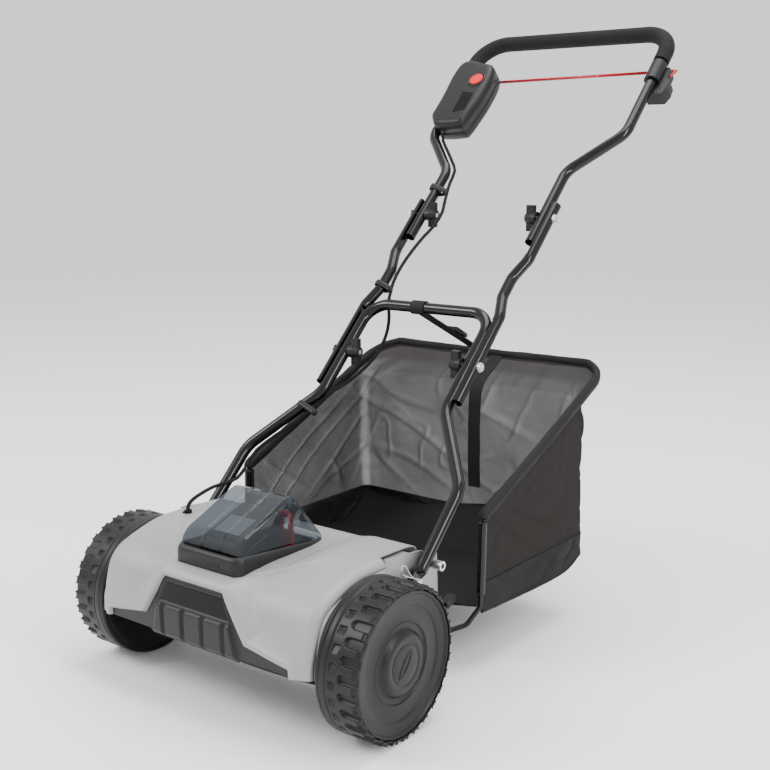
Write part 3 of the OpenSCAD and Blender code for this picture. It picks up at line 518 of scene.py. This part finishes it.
def bevelled(name, verts, faces, paint, width=2.0, segments=3, smooth_faces=True):
    """A solid from corner points in mm, with every edge rounded."""
    shape = bmesh.new()
    points = [shape.verts.new(at(*v)) for v in verts]
    for face in faces:
        shape.faces.new([points[i] for i in face])
    bmesh.ops.recalc_face_normals(shape, faces=shape.faces)
    if width:
        bmesh.ops.bevel(shape, geom=list(shape.edges), offset=width / 1000, segments=segments, profile=0.5,
                        affect="EDGES", clamp_overlap=True)
    mesh = bpy.data.meshes.new(name)
    shape.to_mesh(mesh)
    shape.free()
    mesh.polygons.foreach_set("use_smooth", [smooth_faces] * len(mesh.polygons))
    mesh.materials.append(paint)
    made = bpy.data.objects.new(name, mesh)
    bpy.context.scene.collection.objects.link(made)
    return made


def loft_box(name, rings, paint, width=2.0, segments=3):
    """A solid between stacked outlines with the same number of corners."""
    count = len(rings[0])
    verts = [v for ring in rings for v in ring]
    faces = [tuple(range(count))[::-1], tuple((len(rings) - 1) * count + k for k in range(count))]
    for level in range(len(rings) - 1):
        for k in range(count):
            j = (k + 1) % count
            a = level * count
            faces.append((a + k, a + j, a + count + j, a + count + k))
    return bevelled(name, verts, faces, paint, width, segments)


def housing_ring(inset, z_of):
    """A round-cornered outline, narrower at the front, with its height a function of y."""
    front, rear, radius = -94 + inset, 84 - inset, 15.0
    points = []
    for sx, sy, start in ((1, -1, -90), (1, 1, 0), (-1, 1, 90), (-1, -1, 180)):
        for k in range(9):
            a = math.radians(start + 90 * k / 8)
            y = (front + radius if sy < 0 else rear - radius) + radius * math.sin(a)
            half = 62.5 - inset + (y + 94) * 0.055
            points.append((sx * (half - radius) + radius * math.cos(a), y, float(z_of(y))))
    return points


def rim_height(y):
    return np.interp(y, [-94, -45, 12, 84], [229.5, 231, 225, 217.5])


RINGS = [(0.0, lambda y: 198), (0.0, lambda y: rim_height(y) - 9), (1.2, lambda y: rim_height(y) - 3.5),
         (3.2, lambda y: rim_height(y) - 0.8), (5.6, rim_height), (7.0, lambda y: rim_height(y) - 0.6),
         (7.6, lambda y: rim_height(y) - 14)]
rings = [housing_ring(inset, z_of) for inset, z_of in RINGS]
count = len(rings[0])
verts = [at(*v) for ring in rings for v in ring]
faces = [(i * count + k, i * count + (k + 1) % count, (i + 1) * count + (k + 1) % count, (i + 1) * count + k)
         for i in range(len(rings) - 1) for k in range(count)]
faces.append(tuple((len(rings) - 1) * count + k for k in range(count)))
bezel = mesh_object("bezel", verts, faces, front_black)
lip = loft_box("bezel_latch", [
    [(-29, -96, 214), (29, -96, 214), (27, -88, 214), (-27, -88, 214)],
    [(-27, -90.5, 228), (27, -90.5, 228), (25, -85, 228), (-25, -85, 228)]], front_black, width=1.2)
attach(bezel, "deck")
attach(lip, "deck")
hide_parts("battery_tray")

smoked, tree, shader = material("smoked", (0.055, 0.065, 0.075), rough=0.05, specular=0.75, coat=0.5)
nodes, links = tree.nodes, tree.links
see_through = nodes.new("ShaderNodeBsdfTransparent")
see_through.inputs["Color"].default_value = (0.50, 0.54, 0.58, 1)
facing = nodes.new("ShaderNodeLayerWeight")
facing.inputs["Blend"].default_value = 0.25
share = nodes.new("ShaderNodeMapRange")
share.inputs["To Min"].default_value = 0.22
share.inputs["To Max"].default_value = 0.85
mix = nodes.new("ShaderNodeMixShader")
links.new(facing.outputs["Facing"], share.inputs["Value"])
links.new(share.outputs["Result"], mix.inputs["Fac"])
links.new(see_through.outputs["BSDF"], mix.inputs[1])
links.new(shader.outputs["BSDF"], mix.inputs[2])
links.new(mix.outputs["Shader"], nodes["Material Output"].inputs["Surface"])

# the cover's side outline as (y, z, half width), front foot to rear foot
COVER = [(-81, 230.5, 57), (-79.5, 238, 56.5), (-73, 250, 55), (-68.5, 254, 54.5), (9, 288, 54),
         (17, 290.5, 54),
         (25, 289.5, 54.5), (36, 282, 55.5), (66, 239, 61.5), (75, 225.5, 63)]
verts, faces = [], []
for y, z, half in COVER:
    foot = min(z, float(rim_height(y)) - 0.5)
    shoulder = min(z, foot + (z - foot) * 0.86)
    verts += [at(-half - (z - foot) * 0.05 - 2.5, y, foot), at(-half - 1.4, y, shoulder),
              at(-half + 3, y, z - 0.6),
              at(-20.5, y, z), at(-19.2, y - 0.4, z + 1.3), at(-16.8, y - 0.4, z + 1.3), at(-15.5, y, z),
              at(15.5, y, z), at(16.8, y - 0.4, z + 1.3), at(19.2, y - 0.4, z + 1.3), at(20.5, y, z),
              at(half - 3, y, z - 0.6), at(half + 1.4, y, shoulder),
              at(half + (z - foot) * 0.05 + 2.5, y, foot)]
around = 14
for i in range(len(COVER) - 1):
    for k in range(around - 1):
        a = i * around + k
        faces.append((a, a + 1, a + around + 1, a + around))
lid = mesh_object("clear_cover", verts, faces, smoked, smooth=False)
round_off = lid.modifiers.new("round_off", "BEVEL")
round_off.width = 0.0012
round_off.segments = 2
round_off.limit_method = "ANGLE"
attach(lid, "cover")
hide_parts("battery_cover")

# the battery: a black block with a stepped top, a small orange mark and a grey panel
orange, _, _ = material("orange", (0.75, 0.2, 0.03), rough=0.4)
grey_print, _, _ = material("grey_print", (0.2, 0.21, 0.22), rough=0.5)
cell = loft_box("cell_block", [
    [(-37, -70, 204), (37, -70, 204), (37, 18, 204), (-37, 18, 204)],
    [(-37, -70, 232), (37, -70, 232), (37, 18, 262), (-37, 18, 262)],
    [(-31, -64, 241), (31, -64, 241), (31, 14, 270), (-31, 14, 270)]], front_black, width=2.4)
label = mesh_object("cell_mark", [at(31.5, -45, 230), at(37.3, -45, 226), at(37.3, -10, 238),
                                  at(31.5, -10, 244)],
                    [(0, 1, 2, 3)], orange, smooth=False)
panel_mark = mesh_object("cell_panel", [at(-24, -52, 246.2), at(24, -52, 246.2), at(24, -16, 259.6),
                                        at(-24, -16, 259.6)],
                         [(0, 1, 2, 3)], grey_print, smooth=False)
for piece in (cell, label, panel_mark):
    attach(piece, "battery")
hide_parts("battery_pack")
red_gloss, _, _ = material("red_gloss", (0.34, 0.006, 0.010), rough=0.25, specular=0.35)
button_red, _, _ = material("button_red", (0.62, 0.012, 0.010), rough=0.35, specular=0.3)
paint_node("safety_button", button_red)
# ------------------------------------------------------------------ grass catcher
# Sewn from open black mesh over a solid woven base. A wire hoop runs in a hem round the
# rim and down the front edges, and webbing stiffens the rear wall.


def mesh_cloth():
    """Open weave: dark threads with see-through holes that close up at grazing angles."""
    made, tree, shader = material("mesh_cloth", (0.022, 0.0200, 0.0190), rough=0.85, specular=0.05)
    nodes, links = tree.nodes, tree.links
    uv = nodes.new("ShaderNodeUVMap")
    uv.uv_map = "weave"
    weave = nodes.new("ShaderNodeTexNoise")
    weave.inputs["Scale"].default_value = 9.0
    weave.inputs["Detail"].default_value = 5.0
    threads = nodes.new("ShaderNodeTexWave")
    threads.inputs["Scale"].default_value = 260.0
    threads.inputs["Distortion"].default_value = 0.0
    cross = nodes.new("ShaderNodeTexWave")
    cross.bands_direction = "Y"
    cross.inputs["Scale"].default_value = 260.0
    most = nodes.new("ShaderNodeMath")
    most.operation = "MAXIMUM"
    facing = nodes.new("ShaderNodeLayerWeight")
    facing.inputs["Blend"].default_value = 0.45
    hole = nodes.new("ShaderNodeMapRange")
    hole.inputs["From Min"].default_value = 0.3
    hole.inputs["From Max"].default_value = 0.75
    hole.inputs["To Min"].default_value = 0.66
    hole.inputs["To Max"].default_value = 0.94
    close = nodes.new("ShaderNodeMapRange")
    close.inputs["To Min"].default_value = 0.0
    close.inputs["To Max"].default_value = 0.5
    patch = nodes.new("ShaderNodeMapRange")
    patch.inputs["To Min"].default_value = -0.08
    patch.inputs["To Max"].default_value = 0.10
    total = nodes.new("ShaderNodeMath")
    total.operation = "ADD"
    total_two = nodes.new("ShaderNodeMath")
    total_two.operation = "ADD"
    total_two.use_clamp = True
    for wave in (threads, cross):
        links.new(uv.outputs["UV"], wave.inputs["Vector"])
    links.new(uv.outputs["UV"], weave.inputs["Vector"])
    links.new(threads.outputs["Fac"], most.inputs[0])
    links.new(cross.outputs["Fac"], most.inputs[1])
    links.new(most.outputs["Value"], hole.inputs["Value"])
    links.new(facing.outputs["Facing"], close.inputs["Value"])
    links.new(weave.outputs["Fac"], patch.inputs["Value"])
    links.new(hole.outputs["Result"], total.inputs[0])
    links.new(close.outputs["Result"], total.inputs[1])
    links.new(total.outputs["Value"], total_two.inputs[0])
    links.new(patch.outputs["Result"], total_two.inputs[1])
    links.new(total_two.outputs["Value"], shader.inputs["Alpha"])
    return made


open_mesh = mesh_cloth()
base_cloth = grained("base_cloth", (0.0095, 0.009, 0.0095), rough=0.78, scale=700, height=0.35)
SEAM_Z, FRONT_Y = 138.0, 240.0
REAR_LINE = [(96, 556), (140, 553), (240, 547), (330, 547), (366, 553), (388, 574), (402, 600), (412, 616)]
BOTTOM_LINE = [(238, 94), (300, 90), (400, 85), (478, 84), (520, 92), (556, 103)]


def rear_y(z):
    return np.interp(z, [p[0] for p in REAR_LINE], [p[1] for p in REAR_LINE])


def rim_z(y):
    return 240 + (y - 236) * 0.452


def folds(x, y, z, side):
    """Inward and outward wander of slack cloth, in mm."""
    p = Vector((x, y, z))
    big = noise.noise(p * 0.0075 + Vector((3.1, 0, 0))) * 6
    line = noise.noise(Vector((x * 0.006 + z * 0.011, y * 0.01 + z * 0.008, 4.2 + side)))
    crease = -2.6 * math.exp(-(line / 0.09) ** 2)
    other = noise.noise(Vector((x * 0.018 - z * 0.006, y * 0.012 - z * 0.014, 9.7)))
    crease -= 1.8 * math.exp(-(other / 0.06) ** 2)
    tuck = noise.noise(p * 0.03) * 1.1
    return big + crease + tuck


def bag_sheet(name, low, high, rows, paint):
    """The U of walls between two height functions of y."""
    half = 235.0
    plan = [("side", -1, t) for t in np.linspace(0, 1, 90)]
    plan += [("corner", -1, t) for t in np.linspace(0, 1, 18)[1:-1]]
    plan += [("rear", 0, t) for t in np.linspace(-1, 1, 150)]
    plan += [("corner", 1, t) for t in np.linspace(1, 0, 18)[1:-1]]
    plan += [("side", 1, t) for t in np.linspace(1, 0, 90)]

    def spot(kind, sign, t, v):
        corner = 14 + 38 * float(smooth(0.7, 1.0, v)) * reaches_rim
        back = float(rear_y(rear_low + (rear_high - rear_low) * v))
        if kind == "side":
            return sign * half, FRONT_Y + (back - corner - FRONT_Y) * t, Vector((sign, 0, 0))
        if kind == "corner":
            a = t * math.pi / 2
            return (sign * (half - corner * (1 - math.cos(a))), back - corner * (1 - math.sin(a)),
                    Vector((sign * math.cos(a), math.sin(a), 0)))
        return t * (half - corner), back, Vector((0, 1, 0))

    reaches_rim = high(900) > 300
    rear_low, rear_high = low(560), min(412.0, high(900))
    verts, uvs = [], []
    run = 0.0
    last = None
    for kind, sign, t in plan:
        column = []
        ends = spot(kind, sign, t, 0.0), spot(kind, sign, t, 1.0)
        z_low, z_high = low(ends[0][1]), min(412.0, high(ends[1][1]))
        for k in range(rows + 1):
            v = k / rows
            x, y, out = spot(kind, sign, t, v)
            z = z_low + (z_high - z_low) * v
            pin = min(1.0, 5.0 * (1 - v)) * min(1.0, 3.0 * v + 0.15)
            if kind == "side":
                pin *= min(1.0, t * 8 + 0.1)
            push = folds(x, y, z, sign) * pin
            column.append((x + out.x * push, y + out.y * push, z))
        if last is not None:
            run += math.dist(column[rows // 2], last[rows // 2])
        last = column
        verts += column
        uvs += [(run / 1000, c[2] / 1000) for c in column]
    faces, step = [], rows + 1
    for i in range(len(plan) - 1):
        for k in range(rows):
            a = i * step + k
            faces.append((a, a + step, a + step + 1, a + 1))
    made = mesh_object(name, [at(*v) for v in verts], faces, paint)
    layer = made.data.uv_layers.new(name="weave")
    for loop in made.data.loops:
        layer.data[loop.index].uv = uvs[loop.vertex_index]
    return made


def bottom_z(y):
    return float(np.interp(y, [p[0] for p in BOTTOM_LINE], [p[1] for p in BOTTOM_LINE]))


walls = bag_sheet("mesh_walls", lambda y: SEAM_Z, rim_z, 60, open_mesh)
skirt = bag_sheet("base_walls", bottom_z, lambda y: SEAM_Z + 1, 14, base_cloth)
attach(walls, "catcher")
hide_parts("catcher_mesh")

# the floor of the base, sagging between its edges and turned up at the back
xs, ys = np.linspace(-233, 233, 70), np.linspace(160, 553, 90)
verts, faces = [], []
for y in ys:
    for x in xs:
        wide = 180 if y < 236 else 180 + 53 * float(smooth(236, 262, y))
        wide = min(wide, 215 + math.sqrt(max(0.0, 18 ** 2 - max(0.0, y - 535) ** 2)))
        px = max(-wide, min(wide, x))
        sag = -2.0 + 3.0 * noise.noise(Vector((x * 0.012, y * 0.012, 2)))
        z = bottom_z(max(238, y)) + 2.5 + sag * float(smooth(233, 190, abs(x)))
        z += 46 * float(smooth(470, 552, y)) * (0.75 + 0.35 * math.sin(x * 0.012 + 0.4))
        verts.append(at(px, y, z))
across = len(xs)
for i in range(len(ys) - 1):
    for k in range(across - 1):
        a = i * across + k
        faces.append((a, a + 1, a + across + 1, a + across))
ground_cloth = mesh_object("base_floor", verts, faces, base_cloth)
for sheet in (skirt, ground_cloth):
    body = sheet.modifiers.new("thick", "SOLIDIFY")
    body.thickness = 0.0012
    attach(sheet, "catcher")
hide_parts("catcher_base")


def sweep(name, points, radius, paint, sides=12, flat=None, wobble=0.0, closed_ends=True):
    """A bar along points (mm); flat squashes it to (a, b) half sizes, b along the frame's up."""
    path = [at(*p) for p in points]
    count = len(path)
    tangents = [(path[min(i + 1, count - 1)] - path[max(i - 1, 0)]).normalized() for i in range(count)]
    side = tangents[0].cross(Vector((0, 0, 1)))
    if side.length < 0.1:
        side = Vector((1, 0, 0))
    side.normalize()
    verts, faces = [], []
    for i, (centre, along) in enumerate(zip(path, tangents)):
        side = (side - along * side.dot(along)).normalized()
        up = along.cross(side)
        for k in range(sides):
            a = 2 * math.pi * k / sides
            ru, rv = (flat if flat else (radius, radius))
            if wobble:
                ru += wobble * noise.noise(centre * 30 + Vector((k * 0.7, 0, 0)))
                rv += wobble * noise.noise(centre * 34 + Vector((0, k * 0.7, 5)))
            verts.append(centre + (side * ru * math.cos(a) + up * rv * math.sin(a)) / 1000)
    for i in range(count - 1):
        for k in range(sides):
            j = (k + 1) % sides
            faces.append((i * sides + k, i * sides + j, (i + 1) * sides + j, (i + 1) * sides + k))
    if closed_ends:
        faces.append(tuple(range(sides))[::-1])
        faces.append(tuple((count - 1) * sides + k for k in range(sides)))
    return mesh_object(name, verts, faces, paint)


def path_through(points, count):
    return [tuple(p) for p in resample(points, count)]


webbing = grained("webbing", (0.010, 0.0095, 0.010), rough=0.7, scale=900, height=0.5)
rim = [(238, 243, 246), (238, 400, 316), (238, 530, 375)]
rim += [(186 + 51 * math.cos(a), 566 + 51 * math.sin(a), rim_z(566 + 51 * math.sin(a)) + 1)
        for a in [math.radians(d) for d in (6, 22, 38, 54, 70, 84)]]
rim = rim + [(100, 618, 412), (0, 617, 411)] + [(-a, b, c) for a, b, c in [(100, 618, 412)] + rim[::-1]]
hem = sweep("rim_hem", path_through(rim, 190), 7, webbing, sides=14, flat=(6.5, 9.0), wobble=1.8)
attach(hem, "catcher")
for sign in (-1, 1):
    sleeve = sweep(f"rod_sleeve_{sign}", path_through([(sign * 238, 235.5, 236), (sign * 238, 234, 180),
                                                       (sign * 238, 232.5, 126)], 30), 6.2, tube_paint,
                   sides=20)
    loop = sweep(f"hem_loop_{sign}", path_through([(sign * 238, 236, 240), (sign * 238, 240, 246),
                                                   (sign * 238.4, 262, 257),
                                                   (sign * 238.4, 284, 266)], 26), 8.5, webbing, sides=14,
                 wobble=1.0)
    edge = sweep(f"front_edge_{sign}", path_through([(sign * 235, 241, 236), (sign * 235, 240, 170),
                                                     (sign * 234, 240, 97)], 30),
                 3, webbing, sides=8, flat=(1.6, 6.0), wobble=0.6)
    low_edge = sweep(f"low_edge_{sign}", path_through([(sign * 235, 240, 95), (sign * 235, 300, 91),
                                                       (sign * 235, 400, 86),
                                                       (sign * 235, 478, 85), (sign * 235, 520, 93),
                                                       (sign * 231, 542, 101), (sign * 220, 553, 104)], 50),
                     3, webbing, sides=8, flat=(2.6, 2.6), wobble=0.5)
    for piece in (sleeve, loop, edge, low_edge):
        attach(piece, "catcher")

# webbing down the rear wall and the strap from the rim to the crossbar


def band(name, points, width, thick, paint, across=Vector((1, 0, 0)), wobble=0.0):
    path = [at(*p) for p in points]
    count = len(path)
    verts, faces = [], []
    for i, centre in enumerate(path):
        along = (path[min(i + 1, count - 1)] - path[max(i - 1, 0)]).normalized()
        normal = along.cross(across).normalized()
        shift = wobble * noise.noise(centre * 22) / 1000
        for u, v in ((-1, -1), (1, -1), (1, 1), (-1, 1)):
            verts.append(centre + across * (u * width / 2000) + normal * (v * thick / 2000 + shift))
    for i in range(count - 1):
        for k in range(4):
            j = (k + 1) % 4
            faces.append((i * 4 + k, i * 4 + j, i * 4 + 4 + j, i * 4 + 4 + k))
    faces += [(3, 2, 1, 0), (count * 4 - 4, count * 4 - 3, count * 4 - 2, count * 4 - 1)]
    return mesh_object(name, verts, faces, paint, smooth=False)


rear_band = band("rear_webbing", path_through([(22, 610, 409), (22, 594, 398), (22, 568, 384),
                                               (21, 547, 364), (20, 541, 330),
                                               (21, 540, 240), (22, 541, 182)], 60), 24, 1.6, webbing,
                 wobble=1.5)
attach(rear_band, "catcher")
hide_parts("catcher_webbing")
# ------------------------------------------------------------------ switch box
# Two black shells clamped round the left leg: a rounded outline with a chamfered top, grip
# ribs, a blank label recess, a round red safety button and a cable gland.
BOX = [(-215, 545), (-215, 691), (-153, 690), (-138, 683), (-130, 669), (-125, 641), (-124, 600), (-127, 570),
       (-133, 532), (-142, 522), (-190, 520), (-207, 534)]


def inset_outline(outline, amount):
    centre_x = sum(p[0] for p in outline) / len(outline)
    centre_y = sum(p[1] for p in outline) / len(outline)
    moved = []
    for a, b in outline:
        dx, dy = centre_x - a, centre_y - b
        reach = math.hypot(dx, dy)
        moved.append((a + dx / reach * amount, b + dy / reach * amount))
    return moved


box_line = [tuple(p) for p in resample(BOX + [BOX[0]], 97)[:-1]]
levels = [(9, -20), (3, -19), (0.8, -14), (0, -6), (0, 0.6), (1.2, 0.9), (1.2, 1.5), (0, 1.8), (0, 12),
          (1.5, 18), (5, 23),
          (9, 25), (16, 25.6)]
verts, faces = [], []
for inset, height in levels:
    verts += [up_handle(a, b, height) for a, b in inset_outline(box_line, inset)]
ring = len(box_line)
for i in range(len(levels) - 1):
    faces += [(i * ring + k, i * ring + (k + 1) % ring, (i + 1) * ring + (k + 1) % ring, (i + 1) * ring + k)
              for k in range(ring)]
faces += [tuple(range(ring))[::-1], tuple((len(levels) - 1) * ring + k for k in range(ring))]
shells = mesh_object("switch_shells", verts, faces, black_plastic)
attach(shells, "upper_handle")
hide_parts("switch_box")
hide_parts("switch_box_back")
label = mesh_object("switch_label", [up_handle(-168, 606, 25.9), up_handle(-142, 601, 25.9),
                                     up_handle(-141, 556, 25.9),
                                     up_handle(-166, 549, 25.9)], [(3, 2, 1, 0)], gloss_black, smooth=False)
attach(label, "upper_handle")
for k in range(5):
    rib = sweep(f"switch_rib_{k}", [tuple((up_handle(-206 + d, 566 + 13 * k + d * 0.2, 24.4) - at(0, 0,
                                                            0)) * 1000) for d in (0, 6, 12, 18, 24)], 1.5,
                black_plastic, sides=8)
    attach(rib, "upper_handle")
collar = []
for a in range(28):
    turn_at = 2 * math.pi * a / 28
    collar.append(tuple((up_handle(-152 + 16.4 * math.cos(turn_at), 638 + 16.4 * math.sin(turn_at), 25.2)
                         - at(0, 0, 0)) * 1000))
button_collar = sweep("button_collar", collar + collar[:2], 2.1, black_plastic, sides=10, closed_ends=False)
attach(button_collar, "upper_handle")

# ------------------------------------------------------------------ safety key
# A red plastic key: a thick hoop to pull it by, on a flat blade that closes the circuit.
hoop = [(34, 24, 236), (34, 24, 256)] + [(43 - 9 * math.cos(a), 24, 256 + 9 * math.sin(a))
                                         for a in [math.radians(d) for d in (30, 60, 90, 120, 150)]]
hoop += [(52, 24, 256), (52, 24, 236)]
key = sweep("key", path_through(hoop, 44), 4.6, red_gloss, sides=16, flat=(4.4, 3.6))
key_base = loft_box("key_base", [
    [(29.5, 20.4, 205), (56.5, 20.4, 205), (56.5, 27.6, 205), (29.5, 27.6, 205)],
    [(29.5, 20.4, 240), (56.5, 20.4, 240), (56.5, 27.6, 240), (29.5, 27.6, 240)]], red_gloss, width=1.5)
for piece in (key, key_base):
    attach(piece, "key")
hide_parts("safety_key")

# ------------------------------------------------------------------ bail
# A red powder-coated rod that is squeezed against the grip. It turns in the switch box on
# the left and in a bracket clamped to the right leg.
BAIL_TIP = math.radians(-21.8)


def rounded_line(points, radii, steps=10):
    """Points in a plane with each corner turned into an arc."""
    made = [points[0]]
    for before, here, after, radius in zip(points, points[1:], points[2:], radii[1:]):
        a, b = Vector(before) - Vector(here), Vector(after) - Vector(here)
        a.normalize()
        b.normalize()
        half = a.angle(b) / 2
        middle = Vector(here) + (a + b).normalized() * radius / math.sin(half)
        start = Vector(here) + a * radius / math.tan(half) - middle
        end = Vector(here) + b * radius / math.tan(half) - middle
        for k in range(steps + 1):
            made.append(tuple(middle + start.slerp(end, k / steps)))
    return made + [points[-1]]


def handle_mm(x, s, n):
    return tuple((up_handle(x, s, n) - at(0, 0, 0)) * 1000)


flat_line = rounded_line([(210, 0), (229, 0), (229, 43), (-172, 43), (-172, 4), (-184, 0)],
                         [0, 9, 9, 26, 5, 0])
bail_line = [handle_mm(x, 664 + a * math.cos(BAIL_TIP), -14 + a * math.sin(BAIL_TIP)) for x, a in flat_line]
bail = sweep("bail", bail_line, 2.8, red_gloss, sides=16)
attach(bail, "bail")
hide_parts("bail_lever")

# ------------------------------------------------------------------ cable clips
# Moulded clips that hold the switch cable against the left leg.
for name, body, low, high, s_low, s_high, radius in (
        ("clip_upper", "upper_handle", -124, -104, 372, 368, 12.2),
        ("clip_middle", "middle_handle", -124, -107, 142, 138, 12.2),
        ("clip_lower", "lower_handle", -142, -119, -122, -128, 12.2)):
    loop = []
    for k in range(25):
        a = 2 * math.pi * k / 24
        if math.cos(a) > 0:
            u, v = high + 4.6 * math.cos(a), 4.6 * math.sin(a)
        else:
            u, v = low + radius * math.cos(a), radius * math.sin(a)
        s_at = s_low + (s_high - s_low) * (u - low) / (high - low)
        loop.append(tuple((up_handle(u, s_at, v) - at(0, 0, 0)) * 1000))
    clip = sweep(name, path_through(loop, 60), 2.2, black_plastic, sides=10, flat=(1.7, 5.2),
                 closed_ends=False)
    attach(clip, body)

# ------------------------------------------------------------------ support strap
# Black webbing wrapped round the crossbar and run back to the catcher's rim, with a side
# release buckle half way. The buckle and the rear length stay on the catcher when it lifts off.
for part in ("support_strap", "catcher_webbing"):
    paint_node(part, webbing)
strap = band("rim_strap", [(-23, 539.5, 453.2), (-23, 575, 436), (-23, 604, 421.5), (-23, 616, 418)], 24,
             1.8, webbing)
buckle = loft_box("buckle", [
    [(-39, 541, 454), (-7, 541, 454), (-7, 557, 446), (-39, 557, 446)],
    [(-38, 543, 461), (-8, 543, 461), (-8, 560, 453), (-38, 560, 453)]], black_plastic, width=1.6)
for piece in (strap, buckle):
    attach(piece, "catcher")
